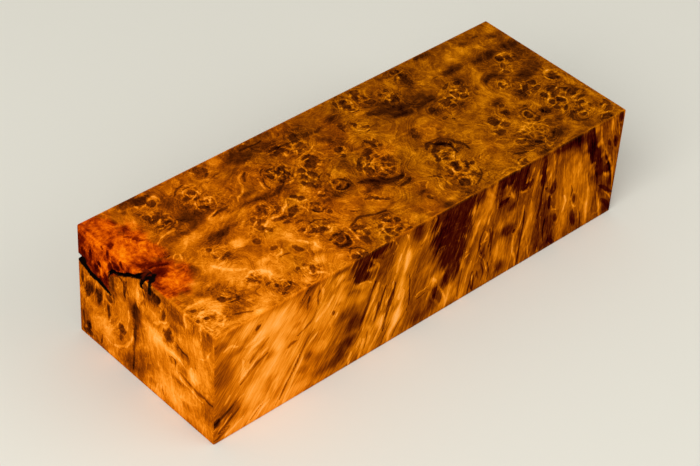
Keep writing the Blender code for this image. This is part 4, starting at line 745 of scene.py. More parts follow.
# Clouds on the fissured end
END_CLOUDS = [
    (0.16, 9, 5.4, 1.8, 1.6), (0.12, 5, 1.2, 3.4, 1.2), (0.1, 2.2, 6.2, 1, 1.4), (0.1, 7.6, 8.4, 0.8, 1.2),
    (-0.14, 14.2, 2.2, 2, 1.6), (0.12, 20.4, 5.4, 2.6, 3.8), (0.1, 15.6, 14, 2.6, 4.2),
    (-0.14, 20.4, 18.8, 1.2, 3), (-0.14, 17.4, 28.8, 4, 2.6, -10), (-0.18, 21.6, 27.4, 2.2, 3.6),
    (-0.12, 24.6, 23.6, 3.2, 2.4), (-0.12, 24.2, 4.8, 2.2, 0.9), (-0.1, 1.4, 27, 1.6, 2.6),
    (-0.14, 4.2, 29.6, 3, 2.2), (0.16, 9.4, 24.4, 3.4, 2.6), (0.18, 26.6, 14.6, 3, 2.4),
    (0.14, 33.4, 14.8, 4.4, 1.2), (0.18, 40.8, 17, 1.8, 2.2), (0.18, 41.8, 5.4, 1.6, 1.1),
    (0.14, 38.6, 2.6, 1.1, 2.6), (0.1, 43.6, 10, 2.8, 4), (-0.12, 37.4, 12.6, 2.4, 1.2, 8),
    (-0.14, 33.8, 17.4, 2, 1), (-0.12, 37.2, 17.8, 1.4, 1), (-0.12, 34.2, 6.8, 2.2, 0.8),
    (-0.14, 34.6, 2.4, 2.6, 2.2), (-0.12, 46.6, 3, 1.6, 3.2), (-0.12, 46.6, 20.6, 2.4, 1),
    (-0.1, 36, 22.2, 3.2, 0.8), (0.2, 33.4, 27, 3.8, 3.8, -20), (0.16, 40.4, 24.6, 3.4, 2, -10),
    (0.12, 27, 31, 2, 1.2), (-0.1, 46.4, 25.4, 2.4, 3.2), (0.1, 27.4, 8.4, 2.4, 1.6, -20),
    (0.1, 24.6, 18.6, 3, 2.4), (-0.1, 13.6, 11, 1.6, 1), (-0.16, 5, 17.6, 3.4, 3),
    (-0.1, 25.8, 29.4, 2, 1.6), (0.07, 30, 20, 24, 16), (-0.14, 2, 6, 2.6, 3.6),
    (-0.14, 6.6, 10.6, 3.4, 1.4, 10), (-0.16, 11, 10.6, 2, 2.6), (-0.08, 17.6, 1.2, 3, 1.8),
    (0.1, 5, 19.6, 4, 2.6), (0.12, 11, 28.6, 3.4, 3), (0.08, 4.4, 25.6, 2.6, 2.4), (-0.1, 27.4, 2.6, 3, 2),
    (0.12, 32.4, 8.6, 2.4, 2.4), (0.12, 39, 8.8, 3.4, 2.6), (0.16, 44.6, 15.4, 3, 3.6),
    (0.1, 29.6, 14, 3, 4.4), (0.1, 34.6, 19.4, 4, 2), (0.08, 22.8, 7.6, 1.8, 3), (0.1, 47, 5, 2, 4),
    (0.12, 26.4, 29.6, 3.4, 3), (0.12, 36, 30.6, 4.6, 2.4), (0.12, 43.6, 29.4, 4.6, 3),
    (-0.06, 22.6, 16.4, 1.8, 3.4), (-0.16, 20, 11.4, 2.4, 3.4), (-0.1, 12.6, 8, 2, 2.4),
    (-0.08, 4.6, 11, 2.6, 1.6), (-0.1, 31, 1, 1.8, 1.8), (-0.08, 34.4, 18, 1.6, 1.4),
    (-0.05, 13, 23.4, 2.4, 1.8), (-0.06, 25, 26.4, 1.8, 3), (0.06, 41.4, 6.6, 2.6, 3),
    (0.09, 4.6, 19.4, 1.6, 2.4), (0.12, 5.4, 28.6, 2, 1.8), (0.12, 11, 31.6, 2.6, 1.4),
    (-0.06, 20.4, 13.6, 2.4, 4), (0.08, 20.8, 27, 1.6, 2.4), (-0.12, 16.2, 10.4, 1.6, 1.6),
    (-0.12, 28.6, 1.6, 2.4, 2.6), (0.1, 14.6, 0.4, 1.6, 1.2), (0.08, 0.6, 1, 1.6, 1.8),
    (-0.07, 23, 18.6, 2.4, 1.6), (-0.05, 44, 27, 2.6, 2.6), (0.1, 48, 9.6, 1, 2), (-0.12, 12, 8, 1.3, 1.8),
    (-0.1, 12, 12, 1.8, 1.6), (-0.1, 1, 17.8, 1.6, 1.4), (-0.1, 30.8, 12.2, 1.4, 1.6),
    (-0.06, 25, 27, 2, 1.6), (-0.08, 41.5, 24.8, 1.8, 1.6), (-0.06, 23.2, 11, 1.2, 1.4),
    (-0.06, 38, 3, 2, 1.8), (-0.06, 45.6, 1.4, 1.6, 1.6), (-0.05, 28, 4.6, 2.4, 1.4),
    (0.08, 7.6, 1.2, 1.6, 1.6), (0.08, 14.4, 0.9, 1.4, 1.4), (0.06, 25.4, 8.4, 1.4, 1.6),
    (0.06, 30, 24.8, 1.4, 2), (0.06, 41.4, 12, 1.8, 1.4), (0.08, 48, 4, 1.2, 1.8), (0.05, 36, 21, 2, 1.4),
    (0.05, 16, 20, 3, 1.6), (0.05, 35, 30, 2, 1.6),
]

# Points where the red heart fades out on the top: along, across, half length, half width
RED_HEARTS = [(0.5, 14.0, 11.6, 15.0), (2.0, 26.0, 10.0, 9.0), (0.0, 4.0, 9.0, 7.0)]

# The heart's depth in millimetres, and the reaches where it has faded out and where it is full
RED_DEPTH = 13.0
RED_FADE = (1.12, 0.55)
# On the end the heart fills two wedges under the top, and one on the far long side. In millimetres: how
# deep each one is where it starts, how fast that changes, and where it starts or ends
LOW_WEDGE_DEPTH, LOW_WEDGE_SLOPE, LOW_WEDGE_END = 9.5, 0.26, 11.6
HIGH_WEDGE_DEPTH, HIGH_WEDGE_SLOPE, HIGH_WEDGE_PEAK, HIGH_WEDGE_START = 7.5, 0.667, 11.5, 10.8
SIDE_WEDGE_DEPTH, SIDE_WEDGE_SLOPE = 9.4, 0.15
WEDGE_EDGE = (-0.3, 0.5)

# What is drawn on each face: eyes, pale strands, dark strands, clouds, and the tone that its eyes take away
TOP_FIGURE = (TOP_EYES, TOP_PALE_STRANDS, TOP_DARK_STRANDS, TOP_CLOUDS, 0.0)
SIDE_FIGURE = (SIDE_EYES, SIDE_PALE_STRANDS, SIDE_DARK_STRANDS, SIDE_CLOUDS, 0.06)
END_FIGURE = (END_EYES, END_PALE_STRANDS, END_DARK_STRANDS, END_CLOUDS, 0.04)

# How far strokes are followed, in half widths
FAR = 3.0
# The share of a strand's width that its tips keep
TIP_SHARE = 0.35
# The reaches where a cloud has faded out and where it is full, and the same for what eyes take away
CLOUD_EDGE = (1.45, 0.35)
EYE_EDGE = (1.25, 0.7)
# How far below the top the traces have wandered half their way, in millimetres
HALF_WANDER = 10.0
# How much slower chance changes along a trace than across it
TRACE_STRETCH = 0.25

# Names of what the mesh keeps for each point
EYE = "eye_reach"
WALL = "eye_wall_reach"
PALE = "pale_strand_reach"
PALE_SIDE = "pale_strand_side"
DARK = "dark_strand_reach"
DARK_SIDE = "dark_strand_side"
CLOUD = "cloud_tone"
STRAND = "strand_course"
KNOT = "knot_reach"
RED = "red_heart"
MOUTH = "fissure_mouth_reach"

# Colour at each tone, which runs from 0 to TONE_SPAN
TONE_SPAN = 1.25
BURL_TONES = [
    (0.00, (0.004, 0.0003, 0.0001, 1.0)),
    (0.14, (0.030, 0.0042, 0.0004, 1.0)),
    (0.30, (0.100, 0.0170, 0.0008, 1.0)),
    (0.45, (0.215, 0.0380, 0.0008, 1.0)),
    (0.60, (0.390, 0.0800, 0.0006, 1.0)),
    (0.75, (0.630, 0.1500, 0.0012, 1.0)),
    (0.88, (0.830, 0.2350, 0.0080, 1.0)),
    (1.00, (0.940, 0.3050, 0.0240, 1.0)),
    (1.12, (0.985, 0.3650, 0.0520, 1.0)),
    (1.25, (1.000, 0.4300, 0.1000, 1.0)),
]
GOLDEN_TONES = [
    (0.00, (0.004, 0.0004, 0.0001, 1.0)),
    (0.14, (0.026, 0.0046, 0.0007, 1.0)),
    (0.30, (0.086, 0.0180, 0.0010, 1.0)),
    (0.45, (0.190, 0.0420, 0.0008, 1.0)),
    (0.60, (0.350, 0.0920, 0.0006, 1.0)),
    (0.75, (0.570, 0.1720, 0.0012, 1.0)),
    (0.88, (0.760, 0.2500, 0.0060, 1.0)),
    (1.00, (0.880, 0.3200, 0.0200, 1.0)),
    (1.25, (0.980, 0.4400, 0.0900, 1.0)),
]
SIDE_TONES = [
    (0.00, (0.006, 0.0002, 0.0004, 1.0)),
    (0.14, (0.030, 0.0010, 0.0006, 1.0)),
    (0.22, (0.055, 0.0044, 0.0008, 1.0)),
    (0.30, (0.090, 0.0120, 0.0008, 1.0)),
    (0.45, (0.195, 0.0390, 0.0008, 1.0)),
    (0.60, (0.370, 0.0880, 0.0006, 1.0)),
    (0.75, (0.600, 0.1620, 0.0012, 1.0)),
    (0.88, (0.800, 0.2450, 0.0070, 1.0)),
    (1.00, (0.920, 0.3150, 0.0240, 1.0)),
    (1.25, (1.000, 0.4350, 0.1000, 1.0)),
]
RED_TONES = [
    (0.00, (0.006, 0.0001, 0.0001, 1.0)),
    (0.18, (0.045, 0.0014, 0.0002, 1.0)),
    (0.35, (0.150, 0.0080, 0.0002, 1.0)),
    (0.55, (0.390, 0.0380, 0.0003, 1.0)),
    (0.75, (0.720, 0.1050, 0.0004, 1.0)),
    (1.00, (0.940, 0.2200, 0.0020, 1.0)),
    (1.25, (1.000, 0.3200, 0.0200, 1.0)),
]
# Old bark in the fissure, and the red wood on the lip of its pocket, darkened with painted shade
BARK = (0.004, 0.002, 0.0015, 1.0)
SHADED_LIP_RED = (0.10, 0.008, 0.001, 1.0)
# Sizes of the figure's parts across the bud traces, in millimetres
SWIRL_SIZE = 5.5
EDDY_SIZE = 1.7
SHADE_SIZE = 5.0
VEIN_SIZE = 2.4
PATCH_SIZE = 9.0
STRAND_SIZE = 1.1
FIBRE_SIZE = 0.36
LINE_SIZE = 0.8
GRAIN_SIZE = 0.38
LUMP_SIZE = 1.3
CELL_SIZE = 1.9
# How far along the golden shift starts and ends, and the sides' own colours, in millimetres
GOLDEN_RANGE = (20.0, 95.0)
SIDE_RANGE = (20.0, 50.0)
# The tone below which wood is lightened, so that it is never quite black
DARKEST = 0.22
BUMP_STRENGTH = 0.3
BUMP_HEIGHT = 0.06 * MM

# The share of the block's length that an edge spans if it runs from side to side
SPANNING = 0.9
# The share of the points that the fissure's cut has to leave
CUT_LEAVES = 0.9

FLOOR_ROUGHNESS = 0.9
FLOOR_GLOSS = 0.1


def in_metres(along, across, below):
    """A place in the sawyer's millimetres, as a point of the frame."""
    return Vector((BLOCK_LOW.x + along * MM, BLOCK_HIGH.y - across * MM, BLOCK_HIGH.z - below * MM))


def smooth_step(value, start, end):
    share = np.clip((value - start) / (end - start), 0.0, 1.0)
    return share * share * (3.0 - 2.0 * share)


def oval_reach(places, a, b, half_a, half_b, turn=0):
    """How far places are from an oval: 0 at its heart, 1 on its outline."""
    turn = math.radians(turn)
    x = places[:, 0] - a
    y = places[:, 1] - b
    along = (x * math.cos(turn) + y * math.sin(turn)) / half_a
    aside = (y * math.cos(turn) - x * math.sin(turn)) / half_b
    return np.hypot(along, aside)


def smooth_path(points, spacing):
    """Points along a smooth line through these points."""
    points = [np.array(p, float) for p in points]
    points = [2 * points[0] - points[1], *points, 2 * points[-1] - points[-2]]
    path = []
    for before, first, last, after in zip(points, points[1:], points[2:], points[3:]):
        steps = max(1, round(float(np.hypot(*(last - first))) / spacing))
        for n in range(steps):
            t = n / steps
            path.append(
                0.5 * (2 * first + (last - before) * t + (2 * before - 5 * first + 4 * last - after) * t * t
                       + (3 * first - before - 3 * last + after) * t ** 3)
            )
    path.append(points[-2])
    return np.array(path)


def strand_reach(places, strands, look):
    """How far places are from the nearest strand, in half widths, and the same with a sign for its side."""
    reach = np.full(len(places), FAR)
    side = np.full(len(places), FAR)
    for half, *points in strands:
        path = smooth_path(points, look.stroke_spacing)
        margin = half * FAR
        low, high = path.min(0) - margin, path.max(0) + margin
        near = np.flatnonzero(((places > low) & (places < high)).all(1))
        if not len(near):
            continue
        spots = places[near]
        count = len(path) - 1
        for n, (first, last) in enumerate(zip(path, path[1:])):
            ahead = last - first
            share = np.clip(((spots - first) @ ahead) / (ahead @ ahead), 0.0, 1.0)
            offset = spots - first - share[:, None] * ahead
            gone = (n + share) / count
            width = half * (TIP_SHARE + (1 - TIP_SHARE) * np.sin(math.pi * gone) ** 0.5)
            away = np.hypot(offset[:, 0], offset[:, 1]) / width
            closer = away < reach[near]
            hit = near[closer]
            turn = ahead[0] * offset[closer, 1] - ahead[1] * offset[closer, 0]
            reach[hit] = away[closer]
            side[hit] = away[closer] * np.where(turn < 0, -1.0, 1.0)
    return np.minimum(reach, FAR), np.clip(side, -FAR, FAR)


def cloud_tone(places, clouds):
    """The tone that soft clouds add."""
    tone = np.zeros(len(places))
    for shade, *oval in clouds:
        tone += shade * smooth_step(oval_reach(places, *oval), *CLOUD_EDGE)
    return tone


def nearest_ovals(places, ovals):
    """How far places are from the nearest oval, and how much further the next one is."""
    first = np.full(len(places), FAR)
    second = np.full(len(places), FAR)
    for oval in ovals:
        reach = oval_reach(places, *oval)
        second = np.minimum(second, np.maximum(first, reach))
        first = np.minimum(first, reach)
    return first, second - first


def wander(places, size, seed):
    """Two smooth random numbers for each place, about -1 to 1."""
    shift = Vector((seed * 7.3, seed * 3.1, seed * 11.7))
    drift = [noise.noise_vector(Vector(place) / size + shift) for place in places]
    return np.array([(d.x, d.y) for d in drift]) * 2.0


def drawn_place(a, b, length, width, pull):
    """Where a face's places lie in its lists, which are drawn a little away from the true places."""
    share = a / length
    level = b / width
    terms = np.stack([np.ones_like(share), share, share * share, level, share * level])
    return np.stack([a + np.dot(pull[0], terms), b + np.dot(pull[1], terms)], 1)


def redness_at(along, across, below, ripple, low_end, far_side):
    """How red the wood is: 1 in the heart round the fissure, 0 away from it."""
    heart = np.full(len(along), FAR)
    for a, b, half_a, half_b in RED_HEARTS:
        reach = np.sqrt(((along - a) / half_a) ** 2 + ((across - b) / half_b) ** 2 + (below / RED_DEPTH) ** 2)
        heart = np.minimum(heart, reach)
    redness = smooth_step(heart + ripple * 0.4, *RED_FADE)
    side_wedge = smooth_step(SIDE_WEDGE_DEPTH + along * SIDE_WEDGE_SLOPE - below, *WEDGE_EDGE)
    redness = np.where(far_side, np.minimum(redness, side_wedge), redness)
    low_wedge = np.minimum(LOW_WEDGE_DEPTH + across * LOW_WEDGE_SLOPE - below, LOW_WEDGE_END - across)
    high_wedge = HIGH_WEDGE_DEPTH - (across - HIGH_WEDGE_PEAK) * HIGH_WEDGE_SLOPE - below
    high_wedge = np.minimum(high_wedge, across - HIGH_WEDGE_START)
    end_wedge = smooth_step(np.maximum(low_wedge, high_wedge), *WEDGE_EDGE)
    return np.where(low_end & ~far_side, end_wedge, redness)


def mouth_reach(along, across, below, look):
    """How far places near a face are from the bark that blackens the fissure's lips, in millimetres."""
    mouth = np.full(len(along), FAR)
    # The last number is how far bark spreads beyond the run's lips
    runs = [
        (along, across, below, END_LOWER_RUN, 0.25),
        (along, across, below, END_UPPER_RUN, -0.15),
        (below, along, across, TOP_RUN, -0.45),
        (below, along, across, TOP_STAIN, 0.1),
        (across, along, below, SIDE_RUN, 0.1),
    ]
    for deep, a, b, run, spread in runs:
        for place_a, place_b, half in resampled(run, look.stroke_spacing):
            reach = np.hypot(a - place_a, b - place_b) - half - spread
            mouth = np.minimum(mouth, np.where(deep < look.mouth_depth, reach, FAR))
    return mouth


def lay_figure(mesh, look):
    """Keeps each point's reach from the drawn figure with the mesh."""
    points = np.empty(len(mesh.vertices) * 3)
    mesh.vertices.foreach_get("co", points)
    points = points.reshape(-1, 3)
    along = (points[:, 0] - BLOCK_LOW.x) / MM
    across = (BLOCK_HIGH.y - points[:, 1]) / MM
    below = (BLOCK_HIGH.z - points[:, 2]) / MM
    spots = np.stack([along, across, below], 1)

    # Bud traces fan out downwards and wander
    fan = look.fan_height / (look.fan_height + below)
    u = look.fan_along + (along - look.fan_along) * fan
    v = look.fan_across + (across - look.fan_across) * fan
    traces = np.stack([u, v, below * TRACE_STRETCH], 1)
    drift = wander(traces, look.wander_size, 1) * (look.wander * below / (below + HALF_WANDER))[:, None]
    ripple = wander(traces, look.ripple_size, 2) * look.ripple
    plan = drawn_place(u, v, LONG, WIDE, TOP_PULL) + drift + ripple

    rim = look.arris / MM * 0.5
    near_side = across > WIDE - rim
    far_side = across < rim
    low_end = along < rim
    high_end = along > LONG - rim
    side_plan = drawn_place(along, below, LONG, TALL, SIDE_PULL)
    end_plan = drawn_place(across, below, WIDE, TALL, END_PULL)
    hidden = (far_side | high_end) & ~near_side & ~low_end
    level = ~(near_side | low_end | hidden)
    faces = [
        (near_side, side_plan + ripple, SIDE_FIGURE),
        (low_end & ~near_side, end_plan + ripple, END_FIGURE),
        (level | hidden, plan, TOP_FIGURE),
    ]

    kept = {name: np.full(len(points), FAR) for name in (EYE, WALL, PALE, PALE_SIDE, DARK, DARK_SIDE, KNOT)}
    kept[CLOUD] = np.zeros(len(points))
    for chosen, places, (eyes, pale, dark, clouds, depth) in faces:
        chosen = np.flatnonzero(chosen)
        places = places[chosen]
        kept[EYE][chosen], kept[WALL][chosen] = nearest_ovals(places, eyes)
        kept[PALE][chosen], kept[PALE_SIDE][chosen] = strand_reach(places, pale, look)
        kept[DARK][chosen], kept[DARK_SIDE][chosen] = strand_reach(places, dark, look)
        kept[CLOUD][chosen] = cloud_tone(places, clouds) - depth * smooth_step(kept[EYE][chosen], *EYE_EDGE)

    # Strands follow the lines of equal height of a gentle relief, which rises at the knots
    swell = wander(traces, look.swell_size, 3) * look.swell
    course = swell[:, 0]
    knots = np.full(len(points), FAR)
    for rise, *oval in TOP_KNOTS:
        reach = oval_reach(plan, *oval)
        course = course + rise * np.exp(-reach * reach)
        knots = np.minimum(knots, reach)
    side_course = np.where(near_side | far_side, u, v) + swell[:, 1] * 0.5
    course = np.where(level, course, side_course)
    kept[STRAND] = course
    kept[KNOT] = np.where(level, knots, FAR)

    kept[RED] = redness_at(along, across, below, ripple[:, 0], low_end, far_side)
    kept[MOUTH] = mouth_reach(along, across, below, look)

    for name, values in kept.items():
        mesh.attributes.new(name, "FLOAT", "POINT").data.foreach_set("value", values.astype(np.float32))


class Field:
    """A number or a vector that varies over the wood: a socket that adds and multiplies as one."""

    def __init__(self, finish, socket):
        self.finish = finish
        self.socket = socket

    def __add__(self, other):
        return self.finish.sum_or_product("ADD", self, other)

    __radd__ = __add__

    def __sub__(self, other):
        return self.finish.math("SUBTRACT", self, other)

    def __rsub__(self, other):
        return self.finish.math("SUBTRACT", other, self)

    def __mul__(self, other):
        return self.finish.sum_or_product("MULTIPLY", self, other)

    __rmul__ = __mul__

    def __truediv__(self, other):
        return self.finish.math("DIVIDE", self, other)

    def __rtruediv__(self, other):
        return self.finish.math("DIVIDE", other, self)

    def least(self, other):
        return self.finish.math("MINIMUM", self, other)

    def size(self):
        return self.finish.math("ABSOLUTE", self)

    def step(self, start, end, low=0.0, high=1.0):
        """A smooth step from low to high as the field goes from start to end."""
        if start > end:
            start, end, low, high = end, start, high, low
        return self.finish.node(
            "ShaderNodeMapRange",
            {"interpolation_type": "SMOOTHSTEP"},
            {"Value": self, "From Min": start, "From Max": end, "To Min": low, "To Max": high},
        )


class Finish:
    """A material's node tree, built from expressions."""

    def __init__(self, name):
        self.material = bpy.data.materials.new(name)
        self.material.use_nodes = True
        self.tree = self.material.node_tree
        self.shader = self.tree.nodes["Principled BSDF"]

    def node(self, kind, settings=None, sockets=None, output=0):
        """One node: its settings first, then the values or links of its sockets. Returns one output."""
        made = self.tree.nodes.new(kind)
        for name, value in (settings or {}).items():
            if name == "stops":
                self.set_stops(made.color_ramp, value)
            else:
                setattr(made, name, value)
        for name, value in (sockets or {}).items():
            self.feed(made.inputs[name], value)
        return Field(self, made.outputs[output])

    def feed(self, socket, value):
        if isinstance(value, Field):
            self.tree.links.new(value.socket, socket)
        else:
            socket.default_value = value

    @staticmethod
    def set_stops(ramp, stops):
        while len(ramp.elements) > 1:
            ramp.elements.remove(ramp.elements[-1])
        ramp.elements[0].position, ramp.elements[0].color = stops[0]
        for position, colour in stops[1:]:
            ramp.elements.new(position).color = colour

    def math(self, operation, a, b=None):
        values = {n: v for n, v in enumerate((a, b)) if v is not None}
        return self.node("ShaderNodeMath", {"operation": operation}, values)

    def sum_or_product(self, operation, a, b):
        """Of two numbers, of two vectors, or of a vector and a number."""
        if a.socket.type != "VECTOR":
            return self.math(operation, a, b)
        if isinstance(b, float):
            return self.node("ShaderNodeVectorMath", {"operation": operation}, {0: a, 1: (b, b, b)})
        return self.node("ShaderNodeVectorMath", {"operation": operation}, {0: a, 1: b})

    def vector(self, x, y, z=0.0):
        return self.node("ShaderNodeCombineXYZ", None, {"X": x, "Y": y, "Z": z})

    def parts(self, vector):
        return [self.node("ShaderNodeSeparateXYZ", None, {"Vector": vector}, n) for n in range(3)]

    def kept(self, name):
        """A number that the mesh keeps for each point."""
        return self.node("ShaderNodeAttribute", {"attribute_name": name}, None, "Fac")

    def noise(self, place, detail=2.0, roughness=0.5):
        """Noise about its middle, roughly -0.5 to 0.5."""
        return self.node(
            "ShaderNodeTexNoise",
            {"noise_dimensions": "3D"},
            {"Vector": place, "Scale": 1.0, "Detail": detail, "Roughness": roughness},
            "Fac",
        ) - 0.5

    def noise_vector(self, place):
        """Three noises at once, each about its middle."""
        colour = self.node(
            "ShaderNodeTexNoise",
            {"noise_dimensions": "3D"},
            {"Vector": place, "Scale": 1.0, "Detail": 1.0},
            "Color",
        )
        return self.node("ShaderNodeVectorMath", {"operation": "SUBTRACT"}, {0: colour, 1: (0.5, 0.5, 0.5)})

    def mix(self, factor, a, b):
        """A mix of two colours."""
        return self.node("ShaderNodeMix", {"data_type": "RGBA"}, {0: factor, 6: a, 7: b}, 2)

    def tone_colour(self, tone, tones):
        stops = [(place / TONE_SPAN, colour) for place, colour in tones]
        return self.node("ShaderNodeValToRGB", {"stops": stops}, {"Fac": tone / TONE_SPAN})


def burl_finish(look):
    """The burl's figure, as one material."""
    f = Finish("stabilized_burl_figure")

    # Where a point lies on the block, and where its bud trace meets the top
    x, y, z = f.parts(f.node("ShaderNodeTexCoord", None, None, "Object"))
    along = (x - BLOCK_LOW.x) * (1 / MM)
    across = (BLOCK_HIGH.y - y) * (1 / MM)
    below = (BLOCK_HIGH.z - z) * (1 / MM)
    fan = look.fan_height / (look.fan_height + below)
    u = look.fan_along + (along - look.fan_along) * fan
    v = look.fan_across + (across - look.fan_across) * fan

    # Noise that swirls between the drawn strokes
    place = f.vector(u, v, below / 7.0)
    swirl = f.noise_vector(place * (1 / SWIRL_SIZE)) * 6.0 + f.noise_vector(place * (1 / EDDY_SIZE)) * 1.1
    swirled = place + swirl
    shade = f.noise(swirled * (1 / SHADE_SIZE), 3.0, 0.6)
    vein = f.noise(swirled * (1 / VEIN_SIZE), 1.0, 0.5)
    veins = vein.size().step(0.055, 0.0) * (shade + 0.55).step(0.3, 0.8)
    patch = f.noise(place * (1 / PATCH_SIZE), 1.0)

    # Strands, fibres and growth lines follow the mesh's courses
    bent = f.kept(STRAND) + shade * 2.6
    strands = f.noise(f.vector(bent / STRAND_SIZE, u / 7.0 + v / 7.0, below / 20.0), 2.0, 0.6)
    fibres = f.noise(f.vector(bent / FIBRE_SIZE, u / 2.4 + v / 2.4, below / 6.0), 2.0, 0.65)
    lines = f.noise(f.vector(bent / LINE_SIZE, u / 6.0, v / 6.0), 1.0, 0.5).size().step(0.05, 0.0)
    grain = f.noise(f.vector(u / GRAIN_SIZE, v / GRAIN_SIZE, below / 1.6), 1.0, 0.6)
    lumps = f.noise(f.vector(u / LUMP_SIZE, v / LUMP_SIZE, below / 5.0), 2.0, 0.5)

    # The drawn eyes, the walls between them, and the drawn strands
    frayed = lumps + grain * 0.4
    sides = below.step(0.2, 0.6)
    eye = f.kept(EYE) + frayed * 0.35 + (strands * 0.5 + fibres * 0.3) * (1 + sides * 1.6)
    eye_mask = eye.step(1.4, 0.6) * (1 - sides) + eye.step(1.6, 0.3) * sides
    eye_ring = (eye - 0.95).size().step(0.4, 0.0)
    eye_tone = (
        0.31 - sides * 0.05 + f.kept(CLOUD) * 0.6 + lumps * 0.45 + grain * 0.45 + fibres * 0.30 + shade * 0.3
        + strands * 0.2
    )
    eye_halo = eye.step(2.9, 1.0)
    eye_rim = (eye - 1.55).size().step(0.5, 0.0)
    between = (f.kept(WALL) + frayed * 0.35).step(0.55, 0.1) * eye.step(3.0, 1.9) * eye.step(0.9, 1.3)
    pale = f.kept(PALE).step(1.5, 0.8) * (f.kept(PALE_SIDE) + frayed).size().step(1.15, 0.25)
    dark = f.kept(DARK).step(1.5, 0.8) * (f.kept(DARK_SIDE) + frayed).size().step(1.2, 0.3)

    # Small eyes packed in the knots, with pale walls between
    packed = f.kept(KNOT).step(1.15, 0.6)
    near_knot = f.kept(KNOT).step(2.4, 1.0)
    cells = f.vector(u / CELL_SIZE, v / CELL_SIZE, below / 20.0) + swirl * 0.12
    wall = f.node(
        "ShaderNodeTexVoronoi", {"feature": "DISTANCE_TO_EDGE"}, {"Vector": cells, "Scale": 1.0}, "Distance"
    )
    walls = wall.step(0.14, 0.02)
    cores = wall.step(0.16, 0.36)

    tone = (
        look.base_tone
        + f.kept(CLOUD) * 1.4
        + patch * 0.24
        + shade * 0.46
        + veins * 0.17
        + strands * 0.40
        + fibres * (0.36 + near_knot * 0.14 + sides * 0.14)
        + grain * (0.26 + near_knot * 0.14)
        + lumps * 0.16
        # Partly the wood's own tone, partly painted shade: darker towards the far end, away from the key
        # light
        - along * 0.0011
        - lines * (0.04 + near_knot * 0.10)
        - eye_halo * 0.06
        + eye_rim * 0.09
        - eye_ring * 0.10
        + between * 0.26
        + pale * (0.22 + lumps * 0.2 + fibres * 0.4)
        - dark * (0.26 + lumps * 0.2 + fibres * 0.4)
        + packed * (walls * 0.16 - cores * 0.18 - 0.03)
    )
    tone = tone + (eye_tone - tone).least(0.0) * eye_mask * 0.8

    # Painted highlight: the top is lighter along its edges, where the sanded arris catches the light
    edge_highlight_reach = along.least(LONG - along).least(across).least(WIDE - across)
    tone = tone + edge_highlight_reach.step(0.8, 0.2) * below.step(0.5, 0.1) * 0.10

    # The darkest wood is never quite black
    floor = DARKEST - sides * 0.03
    sunken = floor - tone.least(floor)
    texture = strands + shade + fibres * 0.6 + lumps * 0.6
    tone = tone + sunken * 0.6 + sunken.least(0.25) * texture * (1.6 + sides * 1.6)

    colour = f.tone_colour(tone, BURL_TONES)
    golden = (along + patch * 90.0 + lumps * 30.0).step(*GOLDEN_RANGE)
    colour = f.mix(golden, colour, f.tone_colour(tone, GOLDEN_TONES))
    colour = f.mix(sides * along.step(*SIDE_RANGE), colour, f.tone_colour(tone, SIDE_TONES))
    red = f.kept(RED) + (strands + lumps) * 0.3
    red_tone = tone + shade * 0.6 + lumps * 0.5 - 0.10
    red_tone = red_tone + (0.30 - red_tone.least(0.30)) * 0.5
    colour = f.mix(red.step(0.1, 1.0), colour, f.tone_colour(red_tone, RED_TONES))

    # The fissure's walls are black with old bark
    sunk = along.least(LONG - along).least(across).least(WIDE - across).least(below).least(TALL - below)
    mouth = f.kept(MOUTH) + frayed * 0.9 + strands * 0.6
    bark = 1 - (1 - sunk.step(0.12, 0.45)) * (1 - mouth.step(0.35, -0.05))
    # Painted shade: the pocket's red lip, within the bark, is a shaded dark red rather than black
    shaded_lip = along.step(0.4, 0.8) * across.step(23.3, 22.4) * below.step(1.5, 0.8)
    colour = f.mix(bark, colour, f.mix(shaded_lip, BARK, SHADED_LIP_RED))

    relief = {"Strength": BUMP_STRENGTH, "Distance": BUMP_HEIGHT, "Height": tone + grain * 0.4}
    bump = f.node("ShaderNodeBump", None, relief, "Normal")
    f.feed(f.shader.inputs["Base Color"], colour)
    f.feed(f.shader.inputs["Roughness"], look.roughness + grain * 0.10 + bark * 0.4)
    f.feed(f.shader.inputs["Normal"], bump)
    f.shader.inputs["Specular IOR Level"].default_value = look.gloss
    return f.material


def floor_finish(colour):
    f = Finish("studio_floor")
    f.shader.inputs["Base Color"].default_value = colour
    f.shader.inputs["Roughness"].default_value = FLOOR_ROUGHNESS
    f.shader.inputs["Specular IOR Level"].default_value = FLOOR_GLOSS
    return f.material


def mesh_object(name, shape, material=None):
    """An object from a bmesh, at the origin."""
    mesh = bpy.data.meshes.new(name)
    shape.to_mesh(mesh)
    shape.free()
    if material:
        mesh.materials.append(material)
    made = bpy.data.objects.new(name, mesh)
    bpy.context.scene.collection.objects.link(made)
    return made


def resampled(run, spacing):
    """Points along a run every spacing millimetres, from straight lines between its own points."""
    points = []
    for first, last in zip(run, run[1:]):
        first, last = Vector(first), Vector(last)
        steps = max(1, round((last - first).length / spacing))
        points += [first.lerp(last, n / steps) for n in range(steps)]
    return points + [Vector(run[-1])]


